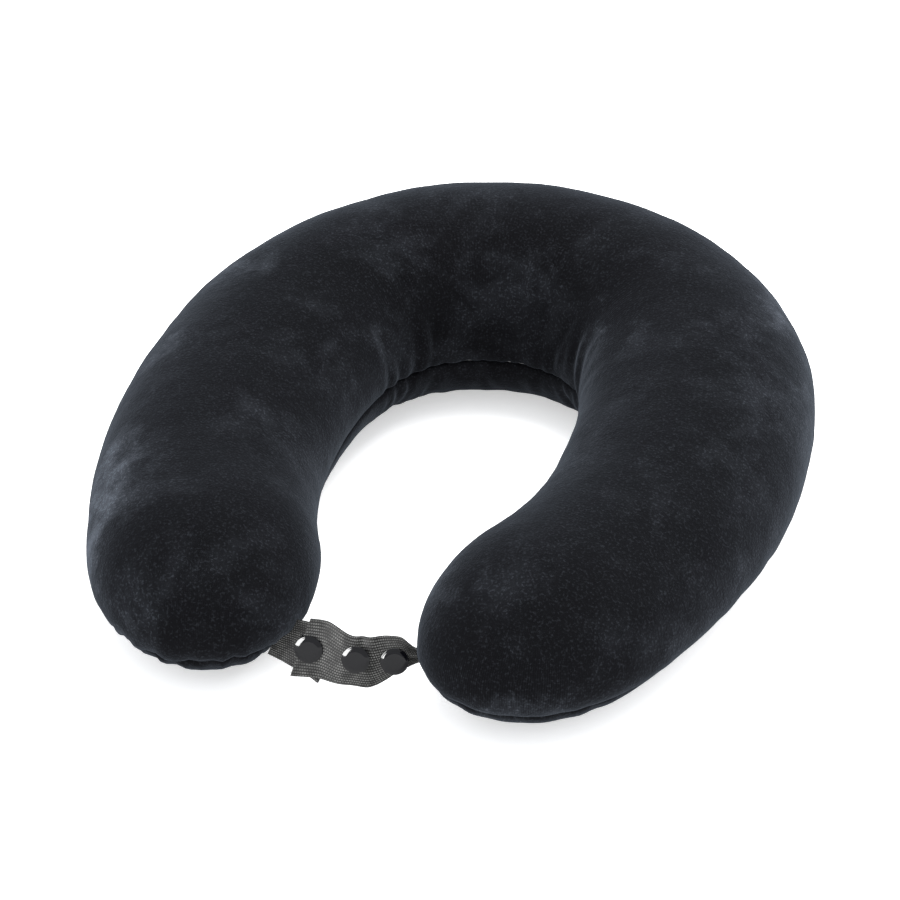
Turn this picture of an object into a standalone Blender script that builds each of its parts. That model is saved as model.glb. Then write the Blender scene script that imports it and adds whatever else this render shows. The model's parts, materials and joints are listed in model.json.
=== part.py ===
"""U-shaped neck pillow, lying on its flat base with the nape towards +Y and the mouth towards -Y.

A moulded foam core sits in a thin liner. Around it goes a plush cover sewn from a top panel and a base
panel, which a zip in the seam opens at the nape. Two webbing straps leave the ends of the arms and are
held together across the mouth by a press snap, with two more snap positions on the longer strap.
"""

import math

import bmesh
import bpy
from mathutils import Matrix, Vector

MM = 0.001
DEGREE = math.pi / 180

# Centre line of the U, seen from above: an arc round the nape, then a flatter arc along each arm
NAPE_RADIUS = 100.0 * MM
NAPE_HALF_ANGLE = 77.0 * DEGREE
ARM_RADIUS = 274.0 * MM
ARM_ANGLE = 38.2 * DEGREE
TIP_REACH = 1.42                 # how far a tip reaches past the centre line, in half widths

# Cross-section
NAPE_HALF_WIDTH = 54.5 * MM
TIP_HALF_WIDTH = 49.5 * MM
NAPE_HEIGHT = 97.0 * MM
TIP_HEIGHT = 69.0 * MM
NAPE_BELLY = 38.0 * MM           # height of the widest place above the base
TIP_BELLY = 28.0 * MM
CORNER_WIDTH = 37.0 * MM         # rounded lower edge beside the flat of the base
CROWN_EXPONENT = 2.0             # superellipse of the upper half

# Seam between the panels, as an angle up the rounded lower edge
OUTER_SEAM_ANGLE = 61.0 * DEGREE
INNER_SEAM_ANGLE = 75.0 * DEGREE
SEAM_BAND = 10.0 * DEGREE        # the wall is straight this far either side of the seam
SEAM_GAP = 0.3 * MM

# Depths of the layers below the cover's surface
COVER_THICKNESS = 1.6 * MM
TAPE_DEPTH = 1.95 * MM
TAPE_THICKNESS = 0.45 * MM
LINER_DEPTH = 3.9 * MM
LINER_THICKNESS = 0.6 * MM
FOAM_DEPTH = 4.9 * MM

# How finely the form is divided
NAPE_STEPS = 14
ARM_STEPS = 8
TIP_STEPS = 8
CROWN_STEPS = 6
SLIT_STATIONS = 2

# Zip, along the middle half of the nape arc; angles run from the nape's middle towards +X
ZIP_HALF_ANGLE = NAPE_HALF_ANGLE / 2
SLOT_HALF_ANGLE = ZIP_HALF_ANGLE - 0.5 * DEGREE
SLOT_HALF_HEIGHT = 3.7 * MM
TAPE_WIDTH = 5.6 * MM
TAPE_GAP = 0.45 * MM             # from the zip's middle line to the tape's edge
COIL_RADIUS = 0.9 * MM
COIL_OFFSET = 1.35 * MM          # from the zip's middle line to the coil's middle
COIL_DEPTH = 0.7 * MM
COIL_STEPS = 28
STOP_ANGLE = 0.8 * DEGREE
STOP_HALF_WIDTH = 2.6 * MM
ZIP_PLAY = 0.12 * DEGREE
SLIDER_ANGLE = 3.2 * DEGREE
PULL_LENGTH = 22.0 * MM
PULL_WIDTH = 5.0 * MM
PULL_THICKNESS = 0.9 * MM
PULL_LIFT = 2.3 * MM             # height of its hinge above the cover
EYE_HALF_WIDTH = 1.1 * MM
EYE_LENGTH = 3.6 * MM
EYE_BAR = 0.9 * MM

# Care label beside the zip's far end, down from the seam
LABEL_START = -56.0 * DEGREE
LABEL_ANGLE = 7.5 * DEGREE
LABEL_THICKNESS = 0.3 * MM

# Straps. Their frame starts at the snapped pair: x runs towards the longer strap's root, y up the
# webbing's width, z outwards.
STUD_POINT = Vector((-19.6, -155.4, 16.2)) * MM
STRAP_HEADING = 10.0 * DEGREE
STRAP_FALL = 5.0 * DEGREE        # the pair lies this much lower towards the longer strap's root
STRAP_LEAN = 12.0 * DEGREE
WEBBING_WIDTH = 24.0 * MM
WEBBING_THICKNESS = 1.3 * MM
FREE_END = 6.5 * MM              # webbing past the snapped pair
STUD_LAYER = -1.65 * MM          # middle of the short strap's webbing
SOCKET_LAYER = 3.85 * MM         # middle of the long strap's webbing
BOW = 4.0 * MM                   # the long strap stands this much further out at its middle snap
SNAP_PITCH = 20.0 * MM
SNAP_FLAT = 6.0 * MM             # flat webbing either side of a snap
THIRD_SNAP = 35.5 * MM
SOCKET_ROOT = 44.5 * MM
SOCKET_ROOT_HEIGHT = 1.2 * MM    # in the plane where stud and socket meet
SOCKET_ROOT_EDGES = (-3.0 * MM, 6.5 * MM)   # the webbing is gathered where it enters the cover
STUD_ROOT = 7.2 * MM
STUD_ROOT_EDGES = (-9.0 * MM, 0.5 * MM)

# Press snaps, as radii and heights outward from the stud's flange
ROUND_STEPS = 20
PRONG_RADIUS = 0.8 * MM
HOLE_RADIUS = 1.1 * MM
FLANGE_RADIUS = 5.3 * MM
CAP_RADIUS = 5.9 * MM
KNOB_RADIUS = 2.0 * MM
CAVITY_RADIUS = 3.0 * MM


def clear_scene():
    for item in list(bpy.data.objects):
        bpy.data.objects.remove(item, do_unlink=True)


def collection(name):
    found = bpy.data.collections.new(name)
    bpy.context.scene.collection.children.link(found)
    return found


def material(name, color, roughness, metallic=0.0):
    made = bpy.data.materials.new(name)
    made.use_nodes = True
    surface = made.node_tree.nodes["Principled BSDF"]
    surface.inputs["Base Color"].default_value = (*color, 1.0)
    surface.inputs["Roughness"].default_value = roughness
    surface.inputs["Metallic"].default_value = metallic
    return made


def finish(mesh, name, group, surface=None, matrix=None, parent=None):
    """Make a named object of a bmesh, shaded smooth with its edges kept."""
    data = bpy.data.meshes.new(name)
    mesh.to_mesh(data)
    mesh.free()
    data.shade_smooth()
    data.set_sharp_from_angle(angle=35 * DEGREE)
    made = bpy.data.objects.new(name, data)
    group.objects.link(made)
    if surface:
        data.materials.append(surface)
    if parent:
        made.parent = parent
    if matrix:
        made.matrix_local = matrix
    return made


def hide(cutter):
    cutter.hide_render = True
    cutter.display_type = "WIRE"
    return cutter


def boolean(target, operation, cutter):
    change = target.modifiers.new(operation.lower(), "BOOLEAN")
    change.operation = operation
    change.object = cutter


def thicken(target, thickness, offset):
    shell = target.modifiers.new("thickness", "SOLIDIFY")
    shell.thickness = thickness
    shell.offset = offset
    shell.use_even_offset = True


# ---- The U-shaped form ---------------------------------------------------------------------------

def ease(t):
    return (1 - math.cos(math.pi * t)) / 2


def blend(a, b, t):
    return a + (b - a) * t


class Station:
    """A place on the centre line: where it is, which way it runs, and the size of the section there."""

    def __init__(self, along):
        nape_length = NAPE_RADIUS * NAPE_HALF_ANGLE
        arm_length = ARM_RADIUS * ARM_ANGLE
        turned = min(along, nape_length) / NAPE_RADIUS
        arm = max(0.0, along - nape_length)
        self.angle = turned + arm / ARM_RADIUS
        self.outward = Vector((math.sin(self.angle), math.cos(self.angle), 0))
        self.onward = Vector((math.cos(self.angle), -math.sin(self.angle), 0))
        if arm:
            knee = Vector((math.sin(NAPE_HALF_ANGLE), math.cos(NAPE_HALF_ANGLE), 0))
            self.point = knee * (NAPE_RADIUS - ARM_RADIUS) + self.outward * ARM_RADIUS
        else:
            self.point = self.outward * NAPE_RADIUS
        narrowing = ease(arm / arm_length)
        lowering = ease(along / (nape_length + arm_length))
        self.half_width = blend(NAPE_HALF_WIDTH, TIP_HALF_WIDTH, narrowing)
        self.belly = blend(NAPE_BELLY, TIP_BELLY, narrowing)
        self.height = blend(NAPE_HEIGHT, TIP_HEIGHT, lowering)


def centre_stations():
    nape_length = NAPE_RADIUS * NAPE_HALF_ANGLE
    arm_length = ARM_RADIUS * ARM_ANGLE
    places = [nape_length * i / NAPE_STEPS for i in range(NAPE_STEPS)]
    places += [nape_length + arm_length * i / ARM_STEPS for i in range(ARM_STEPS + 1)]
    return [Station(place) for place in places]


def nape_centre():
    """The nape arc's centre, placed so that the whole form is centred on the origin in Y."""
    tip = Station(NAPE_RADIUS * NAPE_HALF_ANGLE + ARM_RADIUS * ARM_ANGLE)
    reach = math.hypot(TIP_REACH * tip.onward.y, tip.outward.y) * tip.half_width
    back = NAPE_RADIUS + NAPE_HALF_WIDTH
    return Vector((0, -(tip.point.y - reach + back) / 2, 0))


def corner(station, angle, inset):
    """A point on the rounded lower edge, as distance from the centre line and height."""
    flat = station.half_width - CORNER_WIDTH
    across = flat + (CORNER_WIDTH - inset) * math.sin(angle)
    return Vector((across, inset + (station.belly - inset) * (1 - math.cos(angle))))


def seam_band(station, seam_angle, inset):
    """The ends of the straight stretch of wall that the seam runs along the middle of."""
    return (corner(station, seam_angle - SEAM_BAND, inset),
            corner(station, seam_angle + SEAM_BAND, inset))


def section(station, seam_angle, inset, panel):
    """Half of a cross-section from the middle of the base up to the ridge, or one panel's share."""
    low, high = seam_band(station, seam_angle, inset)
    middle = (low + high) / 2
    margin = (high - low).normalized() * SEAM_GAP / 2
    flat = corner(station, 0, inset)
    base = [Vector((0, inset)), Vector((flat.x * 0.9, inset)), flat,
            corner(station, (seam_angle - SEAM_BAND) / 2, inset), low]
    crown = [high, corner(station, math.pi / 2, inset)]
    power = 2 / CROWN_EXPONENT
    for i in range(1, CROWN_STEPS):
        angle = math.pi / 2 * i / CROWN_STEPS
        across = (station.half_width - inset) * math.cos(angle) ** power
        rise = (station.height - inset - station.belly) * math.sin(angle) ** power
        crown.append(Vector((across, station.belly + rise)))
    crown.append(Vector((0, station.height - inset)))
    if panel == "base":
        return base + [middle - margin]
    if panel == "top":
        return [middle + margin] + crown
    return base + crown


def outline():
    """Half of the outline, from the nape's outer side round the tip to its inner side.

    Each entry is a station, the direction its section faces and the angle of the seam there.
    """
    stations = centre_stations()
    tip = stations[-1]
    around = [(one, one.outward, OUTER_SEAM_ANGLE) for one in stations]
    for i in range(1, TIP_STEPS):
        turn = math.pi * i / TIP_STEPS
        facing = tip.outward * math.cos(turn) + tip.onward * math.sin(turn) * TIP_REACH
        around.append((tip, facing, blend(OUTER_SEAM_ANGLE, INNER_SEAM_ANGLE, ease(i / TIP_STEPS))))
    around += [(one, -one.outward, INNER_SEAM_ANGLE) for one in reversed(stations)]
    return around


def u_form(name, group, surface, inset, panel="whole", slit=False):
    """One layer of the pillow: half of it lofted round the outline, and mirrored."""
    mesh = bmesh.new()
    centre = nape_centre()
    points = {}

    def vertex(station, facing, place):
        at = station.point + facing * place.x
        spot = (round(at.x, 7), round(at.y, 7), round(place.y, 7))
        if spot not in points:
            points[spot] = mesh.verts.new(centre + Vector((at.x, at.y, place.y)))
        return points[spot]

    rows = []
    for station, facing, seam_angle in outline():
        rows.append([vertex(station, facing, place)
                     for place in section(station, seam_angle, inset, panel)])
    for i in range(len(rows) - 1):
        for j in range(len(rows[0]) - 1):
            if slit and j == 1 and i >= len(rows) - 1 - SLIT_STATIONS:
                continue
            ring = [rows[i][j], rows[i][j + 1], rows[i + 1][j + 1], rows[i + 1][j]]
            mesh.faces.new(list(dict.fromkeys(ring)))
    made = finish(mesh, name, group, surface)
    mirror = made.modifiers.new("other arm", "MIRROR")
    mirror.merge_threshold = 0.01 * MM
    return made


# ---- The zip -------------------------------------------------------------------------------------

def zip_frame():
    """The zip's cross-section frame: middle point, direction up the wall and direction outwards."""
    low, high = seam_band(Station(0), OUTER_SEAM_ANGLE, 0)
    upward = (high - low).normalized()
    return (low + high) / 2, upward, Vector((upward.y, -upward.x))


def wall_profile(shape):
    """Turn points (up the wall, outwards) into points (distance from the centre line, height)."""
    middle, upward, outward = zip_frame()
    return [middle + upward * up + outward * out for up, out in shape]


def box_profile(up_from, up_to, out_from, out_to):
    return [(up_from, out_from), (up_to, out_from), (up_to, out_to), (up_from, out_to)]


def swept(name, group, surface, profile, start, end, steps):
    """Sweep a closed profile (distance from the centre line, height) round the nape's centre."""
    mesh = bmesh.new()
    radial = Vector((math.sin(start), math.cos(start), 0))
    verts = [mesh.verts.new(radial * (NAPE_RADIUS + x) + Vector((0, 0, z))) for x, z in profile]
    face = mesh.faces.new(verts)
    bmesh.ops.spin(mesh, geom=[face, *face.edges, *verts], cent=(0, 0, 0), axis=(0, 0, -1),
                   angle=end - start, steps=steps, use_duplicate=False)
    bmesh.ops.recalc_face_normals(mesh, faces=mesh.faces)
    return finish(mesh, name, group, surface, Matrix.Translation(nape_centre()))


def slider_angle():
    """Where the closed zip's slider rests, up against the stop."""
    return SLOT_HALF_ANGLE - STOP_ANGLE - 2 * ZIP_PLAY - SLIDER_ANGLE / 2


def make_zip(group, cutters, fabric, nylon, metal):
    teeth_end = SLOT_HALF_ANGLE - STOP_ANGLE - ZIP_PLAY
    for side, name in ((1, "upper"), (-1, "lower")):
        edges = sorted((side * TAPE_GAP, side * (TAPE_GAP + TAPE_WIDTH)))
        tape = box_profile(*edges, -TAPE_DEPTH - TAPE_THICKNESS, -TAPE_DEPTH)
        swept("zip_tape_" + name, group, fabric, wall_profile(tape),
              -ZIP_HALF_ANGLE, ZIP_HALF_ANGLE, NAPE_STEPS)
        coil = [(side * COIL_OFFSET + COIL_RADIUS * math.cos(math.pi * (i + 0.5) / 4),
                 -COIL_DEPTH + COIL_RADIUS * math.sin(math.pi * (i + 0.5) / 4)) for i in range(8)]
        swept("zip_coil_" + name, group, nylon, wall_profile(coil), -teeth_end, teeth_end, COIL_STEPS)
    stop = wall_profile(box_profile(-STOP_HALF_WIDTH, STOP_HALF_WIDTH, -1.6 * MM, 0.4 * MM))
    inner = SLOT_HALF_ANGLE - STOP_ANGLE
    outer = SLOT_HALF_ANGLE - ZIP_PLAY
    swept("zip_top_stop", group, metal, stop, inner, outer, 1)
    swept("zip_bottom_stop", group, metal, stop, -outer, -inner, 1)
    make_slider(group, cutters, metal)


def make_slider(group, cutters, metal):
    """Outer and inner plate joined by a thin wedge between the coils, with an arch for the pull."""
    plate, lip, wedge, under = 3.4 * MM, 2.75 * MM, 0.15 * MM, 3.0 * MM
    top, bottom, lip_end = 1.4 * MM, 0.5 * MM, -1.3 * MM
    under_top, under_bottom = -2.9 * MM, -3.4 * MM
    half = [(plate, top), (plate, lip_end), (lip, lip_end), (lip, bottom), (wedge, bottom),
            (wedge, under_top), (under, under_top), (under, under_bottom)]
    shape = half + [(-up, out) for up, out in reversed(half)]
    centre = slider_angle()
    ends = (centre - SLIDER_ANGLE / 2, centre + SLIDER_ANGLE / 2)
    slider = swept("zip_slider", group, metal, wall_profile(shape), *ends, 2)
    arch_half, window_half = 1.1 * DEGREE, 0.72 * DEGREE
    arch = wall_profile(box_profile(-0.6 * MM, 0.6 * MM, 1.2 * MM, 3.7 * MM))
    window = wall_profile(box_profile(-1.5 * MM, 1.5 * MM, 1.45 * MM, 3.1 * MM))
    boolean(slider, "UNION", hide(swept("slider_arch", cutters, None, arch,
                                        centre - arch_half, centre + arch_half, 2)))
    boolean(slider, "DIFFERENCE", hide(swept("slider_window", cutters, None, window,
                                             centre - window_half, centre + window_half, 2)))
    make_pull(group, cutters, metal)


def pull_frame():
    """The pull's frame: x along the closed zip, y up the wall, z outwards, at its hinge."""
    middle, upward, outward = zip_frame()
    angle = slider_angle()
    radial = Vector((math.sin(angle), math.cos(angle), 0))
    back = Vector((-math.cos(angle), math.sin(angle), 0))
    up = radial * upward.x + Vector((0, 0, upward.y))
    out = radial * outward.x + Vector((0, 0, outward.y))
    at = nape_centre() + radial * (NAPE_RADIUS + middle.x) + Vector((0, 0, middle.y)) + out * PULL_LIFT
    return Matrix.Translation(at) @ Matrix((back, up, out)).transposed().to_4x4()


def block(name, group, surface, low, high, matrix, bevel=0.0):
    mesh = bmesh.new()
    size = Vector(high) - Vector(low)
    middle = (Vector(high) + Vector(low)) / 2
    bmesh.ops.create_cube(mesh, size=1, matrix=Matrix.Translation(middle) @ Matrix.Diagonal((*size, 1)))
    made = finish(mesh, name, group, surface, matrix)
    if bevel:
        edges = made.modifiers.new("rounding", "BEVEL")
        edges.width = bevel
        edges.segments = 2
    return made


def make_pull(group, cutters, metal):
    frame = pull_frame()
    wide, thick, bar = PULL_WIDTH / 2, PULL_THICKNESS / 2, EYE_BAR / 2
    pull = block("zip_pull", group, metal, (-bar, -wide, -thick), (PULL_LENGTH, wide, thick), frame,
                 bevel=0.2 * MM)
    eye = block("pull_eye", cutters, None, (bar, -EYE_HALF_WIDTH, -2 * thick),
                (bar + EYE_LENGTH, EYE_HALF_WIDTH, 2 * thick), frame)
    grip = block("pull_grip", cutters, None, (PULL_LENGTH * 0.62, -wide * 0.45, -2 * thick),
                 (PULL_LENGTH * 0.9, wide * 0.45, 2 * thick), frame)
    boolean(pull, "DIFFERENCE", hide(eye))
    boolean(pull, "DIFFERENCE", hide(grip))


# ---- The straps and their snaps -------------------------------------------------------------------

def strap_frame():
    turn = (Matrix.Rotation(STRAP_HEADING, 4, "Z") @ Matrix.Rotation(STRAP_FALL, 4, "Y")
            @ Matrix.Rotation(math.pi / 2 - STRAP_LEAN, 4, "X"))
    return Matrix.Translation(STUD_POINT) @ turn


def pivot(name, group, along, height):
    """An empty on a strap's root, turned with the straps: the strap swings about its y axis."""
    made = bpy.data.objects.new(name, None)
    made.empty_display_size = 5 * MM
    group.objects.link(made)
    made.matrix_world = strap_frame() @ Matrix.Translation((along, 0, height))
    return made


def turned(name, group, surface, profile, matrix, parent):
    """A round piece from a profile that runs down its outer side, from the axis to the axis."""
    mesh = bmesh.new()
    verts = [mesh.verts.new((radius, 0, height)) for radius, height in profile]
    for a, b in zip(verts, verts[1:]):
        mesh.edges.new((a, b))
    made = finish(mesh, name, group, surface, matrix, parent)
    screw = made.modifiers.new("turned", "SCREW")
    screw.steps = screw.render_steps = ROUND_STEPS
    screw.use_merge_vertices = True
    screw.merge_threshold = 0.02 * MM
    screw.use_smooth_shade = True
    return made


def webbing(name, group, cutters, surface, path, holes, parent, to_strap):
    """Webbing along a path of (along, height, lower edge, upper edge), with a hole for each snap."""
    mesh = bmesh.new()
    pairs = []
    for along, height, lower, upper in path:
        pairs.append([mesh.verts.new(to_strap @ Vector((along, edge, height))) for edge in (lower, upper)])
    for (a, b), (c, d) in zip(pairs, pairs[1:]):
        mesh.faces.new((a, c, d, b))
    made = finish(mesh, name, group, surface, Matrix.Identity(4), parent)
    thicken(made, WEBBING_THICKNESS, 0)
    for number, place in enumerate(holes, 1):
        hole = bmesh.new()
        bmesh.ops.create_cone(hole, cap_ends=True, segments=ROUND_STEPS, depth=6 * MM,
                              radius1=HOLE_RADIUS, radius2=HOLE_RADIUS)
        boolean(made, "DIFFERENCE",
                hide(finish(hole, f"{name}_hole_{number}", cutters, None, place, parent)))
    return made


def cap_profile():
    """Outer cap: a flat button with a rounded rim, and the prong that goes through the webbing."""
    under = SOCKET_LAYER + WEBBING_THICKNESS / 2 + 0.3 * MM
    prong_end = SOCKET_LAYER - WEBBING_THICKNESS / 2
    return [(0, under + 1.4 * MM), (CAP_RADIUS * 0.78, under + 1.35 * MM),
            (CAP_RADIUS * 0.94, under + 1.0 * MM), (CAP_RADIUS, under + 0.4 * MM), (CAP_RADIUS, under),
            (PRONG_RADIUS, under), (PRONG_RADIUS, prong_end), (0, prong_end)]


def socket_profile():
    """Socket: a round body with a cavity that the stud's knob springs into."""
    top, bottom, roof = 2.9 * MM, 0.3 * MM, 2.3 * MM
    return [(0, top), (FLANGE_RADIUS - 0.3 * MM, top), (FLANGE_RADIUS, top - 0.3 * MM),
            (FLANGE_RADIUS, bottom + 0.3 * MM), (FLANGE_RADIUS - 0.3 * MM, bottom),
            (CAVITY_RADIUS, bottom), (CAVITY_RADIUS, roof), (0, roof)]


def stud_profile():
    """Stud: a flange with a waisted knob."""
    return [(0, 1.7 * MM), (KNOB_RADIUS - 0.35 * MM, 1.7 * MM), (KNOB_RADIUS, 1.25 * MM),
            (KNOB_RADIUS - 0.25 * MM, 0.5 * MM), (KNOB_RADIUS - 0.25 * MM, 0),
            (FLANGE_RADIUS - 0.2 * MM, 0), (FLANGE_RADIUS, -0.25 * MM),
            (FLANGE_RADIUS, -0.7 * MM), (0, -0.7 * MM)]


def back_cap_profile():
    """Back cap: the stud's prong and rivet head on the inner side of the short strap."""
    prong_end = STUD_LAYER + WEBBING_THICKNESS / 2
    over = STUD_LAYER - WEBBING_THICKNESS / 2 - 0.3 * MM
    return [(0, prong_end), (PRONG_RADIUS, prong_end), (PRONG_RADIUS, over), (CAP_RADIUS, over),
            (CAP_RADIUS, over - 0.4 * MM), (CAP_RADIUS * 0.92, over - 0.9 * MM),
            (CAP_RADIUS * 0.75, over - 1.2 * MM), (0, over - 1.2 * MM)]


def make_socket_strap(group, cutters, web, plastic):
    """The long strap, from its free end over its three snaps to its root."""
    root = pivot("socket_strap_pivot", group, SOCKET_ROOT, SOCKET_ROOT_HEIGHT)
    to_strap = Matrix.Translation((-SOCKET_ROOT, 0, -SOCKET_ROOT_HEIGHT))
    edge = WEBBING_WIDTH / 2
    crest = SOCKET_LAYER + BOW
    shoulder = SNAP_PITCH + SNAP_FLAT
    fall = math.atan2(crest - SOCKET_ROOT_HEIGHT, SOCKET_ROOT - shoulder)
    gather = THIRD_SNAP + SNAP_FLAT / 3
    path = [(-FREE_END, SOCKET_LAYER, -edge, edge), (SNAP_FLAT, SOCKET_LAYER, -edge, edge),
            (SNAP_PITCH - SNAP_FLAT, crest, -edge, edge), (shoulder, crest, -edge, edge),
            (gather, crest - (gather - shoulder) * math.tan(fall), -edge * 0.8, edge * 0.8),
            (SOCKET_ROOT, SOCKET_ROOT_HEIGHT, *SOCKET_ROOT_EDGES)]
    third_layer = crest - (THIRD_SNAP - shoulder) * math.tan(fall)
    snaps = [(0, SOCKET_LAYER, 0), (SNAP_PITCH, crest, 0), (THIRD_SNAP, third_layer, fall)]
    holes = []
    for number, (along, height, tilt) in enumerate(snaps, 1):
        middle = to_strap @ Matrix.Translation((along, 0, height)) @ Matrix.Rotation(tilt, 4, "Y")
        place = middle @ Matrix.Translation((0, 0, -SOCKET_LAYER))
        turned(f"snap_cap_{number}", group, plastic, cap_profile(), place, root)
        turned(f"snap_socket_{number}", group, plastic, socket_profile(), place, root)
        holes.append(middle)
    webbing("socket_strap", group, cutters, web, path, holes, root, to_strap)


def make_stud_strap(group, cutters, web, plastic):
    """The short strap, from its root to its end behind the snapped pair."""
    root = pivot("stud_strap_pivot", group, -STUD_ROOT, STUD_LAYER)
    to_strap = Matrix.Translation((STUD_ROOT, 0, -STUD_LAYER))
    edge = WEBBING_WIDTH / 2
    path = [(-STUD_ROOT, STUD_LAYER, *STUD_ROOT_EDGES), (-STUD_ROOT * 0.4, STUD_LAYER, -edge, edge),
            (FREE_END, STUD_LAYER, -edge, edge)]
    turned("snap_stud", group, plastic, stud_profile(), to_strap, root)
    turned("snap_back_cap", group, plastic, back_cap_profile(), to_strap, root)
    hole = to_strap @ Matrix.Translation((0, 0, STUD_LAYER))
    webbing("stud_strap", group, cutters, web, path, [hole], root, to_strap)


# ---- The whole pillow ----------------------------------------------------------------------------

def make_cover(group, cutters, plush):
    slot = wall_profile(box_profile(-SLOT_HALF_HEIGHT, SLOT_HALF_HEIGHT, -3.2 * MM, 2.0 * MM))
    cutter = hide(swept("zip_slot", cutters, None, slot, -SLOT_HALF_ANGLE, SLOT_HALF_ANGLE, NAPE_STEPS))
    for panel in ("top", "base"):
        made = u_form(f"cover_{panel}_panel", group, plush, 0.0, panel)
        thicken(made, COVER_THICKNESS, -1)
        boolean(made, "DIFFERENCE", cutter)


def make_filling(group, jersey, foam):
    liner = u_form("inner_liner", group, jersey, LINER_DEPTH, slit=True)
    thicken(liner, LINER_THICKNESS, -1)
    u_form("foam_core", group, foam, FOAM_DEPTH)


def make_label(group, satin):
    """A blank satin label that hangs from the seam, just off the cover."""
    station = Station(0)
    near, far = 0.35 * MM, 0.35 * MM + LABEL_THICKNESS
    angles = [OUTER_SEAM_ANGLE, OUTER_SEAM_ANGLE - SEAM_BAND, (OUTER_SEAM_ANGLE - SEAM_BAND) / 2]
    inside = [corner(station, angle, -near) for angle in angles]
    outside = [corner(station, angle, -far) for angle in angles]
    swept("care_label", group, satin, inside + outside[::-1], LABEL_START, LABEL_START + LABEL_ANGLE, 2)


def main():
    clear_scene()
    parts = collection("neck_pillow")
    cutters = collection("cutters")
    plush = material("plush", (0.018, 0.020, 0.025), 0.9)
    jersey = material("jersey", (0.62, 0.62, 0.60), 0.9)
    foam = material("foam", (0.80, 0.76, 0.62), 0.95)
    tape = material("zip_tape", (0.02, 0.02, 0.023), 0.85)
    nylon = material("nylon_coil", (0.015, 0.015, 0.017), 0.4)
    metal = material("black_metal", (0.03, 0.03, 0.033), 0.3, 0.9)
    satin = material("satin", (0.75, 0.75, 0.74), 0.45)
    web = material("webbing", (0.045, 0.045, 0.047), 0.75)
    plastic = material("snap_plastic", (0.012, 0.012, 0.014), 0.25)
    make_cover(parts, cutters, plush)
    make_filling(parts, jersey, foam)
    make_label(parts, satin)
    make_zip(parts, cutters, tape, nylon, metal)
    make_socket_strap(parts, cutters, web, plastic)
    make_stud_strap(parts, cutters, web, plastic)


if __name__ == "__main__":
    main()
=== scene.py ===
"""Looks of a U-shaped neck pillow: plush cover, webbing straps, press snaps, zip, label and filling."""

import json
import math
import random
from contextlib import contextmanager

import bmesh
import bpy
import numpy as np
from bpy.props import FloatProperty, FloatVectorProperty, IntProperty, PointerProperty
from bpy.types import Operator, Panel, PropertyGroup
from mathutils import Matrix, Vector, noise
from mathutils.bvhtree import BVHTree


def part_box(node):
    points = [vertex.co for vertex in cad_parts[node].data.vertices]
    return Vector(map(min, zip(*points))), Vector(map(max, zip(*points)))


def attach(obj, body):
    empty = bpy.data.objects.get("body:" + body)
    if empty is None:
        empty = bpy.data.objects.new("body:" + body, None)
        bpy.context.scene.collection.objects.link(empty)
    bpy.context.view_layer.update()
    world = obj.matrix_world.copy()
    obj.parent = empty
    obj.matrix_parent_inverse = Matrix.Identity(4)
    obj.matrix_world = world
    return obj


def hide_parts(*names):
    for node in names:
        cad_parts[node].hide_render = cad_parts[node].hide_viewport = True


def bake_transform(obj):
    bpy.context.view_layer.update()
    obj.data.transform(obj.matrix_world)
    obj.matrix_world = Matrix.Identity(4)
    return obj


bl_info = {
    "name": "U-shaped neck pillow",
    "version": (1, 0, 0),
    "blender": (4, 5, 0),
    "location": "3D View > Sidebar > Neck Pillow",
    "description": "Builds the finished surfaces of a plush neck pillow round its frame",
    "category": "Object",
}

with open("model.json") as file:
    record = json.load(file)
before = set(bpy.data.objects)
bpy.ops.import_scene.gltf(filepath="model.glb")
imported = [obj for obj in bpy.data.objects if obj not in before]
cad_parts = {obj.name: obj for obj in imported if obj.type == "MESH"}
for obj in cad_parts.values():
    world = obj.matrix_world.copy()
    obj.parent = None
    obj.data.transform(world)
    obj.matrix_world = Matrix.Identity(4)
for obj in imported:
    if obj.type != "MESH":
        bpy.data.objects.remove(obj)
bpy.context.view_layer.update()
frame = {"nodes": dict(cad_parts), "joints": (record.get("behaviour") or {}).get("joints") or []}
JOINTS = {joint["name"]: joint for joint in frame["joints"]}

MM = 0.001
DEGREE = math.pi / 180

# Centre line of the U, seen from above: an arc round the nape, then a flatter arc along each arm
NAPE_RADIUS = 100.0 * MM
NAPE_HALF_ANGLE = 77.0 * DEGREE
ARM_RADIUS = 274.0 * MM
ARM_ANGLE = 38.2 * DEGREE
TIP_REACH = 1.42
NAPE_LENGTH = NAPE_RADIUS * NAPE_HALF_ANGLE
ARM_LENGTH = ARM_RADIUS * ARM_ANGLE
NAPE_CENTRE = np.array(JOINTS["zip_travel"]["pos_m"][:2])

# Cross-section
NAPE_HALF_WIDTH = 54.5 * MM
TIP_HALF_WIDTH = 49.5 * MM
NAPE_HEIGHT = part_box("cover_top_panel")[1].z
TIP_HEIGHT = 69.0 * MM
NAPE_BELLY = 38.0 * MM
TIP_BELLY = 28.0 * MM
CORNER_WIDTH = 37.0 * MM
OUTER_SEAM_ANGLE = 61.0 * DEGREE
INNER_SEAM_ANGLE = 75.0 * DEGREE
SEAM_BAND = 10.0 * DEGREE

# Layers, as depths below the cover's surface
PLUSH_THICKNESS = 1.2 * MM
TAPE_DEPTH = 1.95 * MM
TAPE_THICKNESS = 0.45 * MM
LINER_DEPTH = 3.9 * MM
FOAM_DEPTH = 4.9 * MM

# Zip; angles run from the nape's middle towards +X
ZIP_HALF_ANGLE = NAPE_HALF_ANGLE / 2
SLOT_HALF_ANGLE = ZIP_HALF_ANGLE - 0.5 * DEGREE
SLOT_HALF_HEIGHT = 3.7 * MM
COIL_OFFSET = 1.35 * MM
COIL_DEPTH = 0.7 * MM

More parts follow.
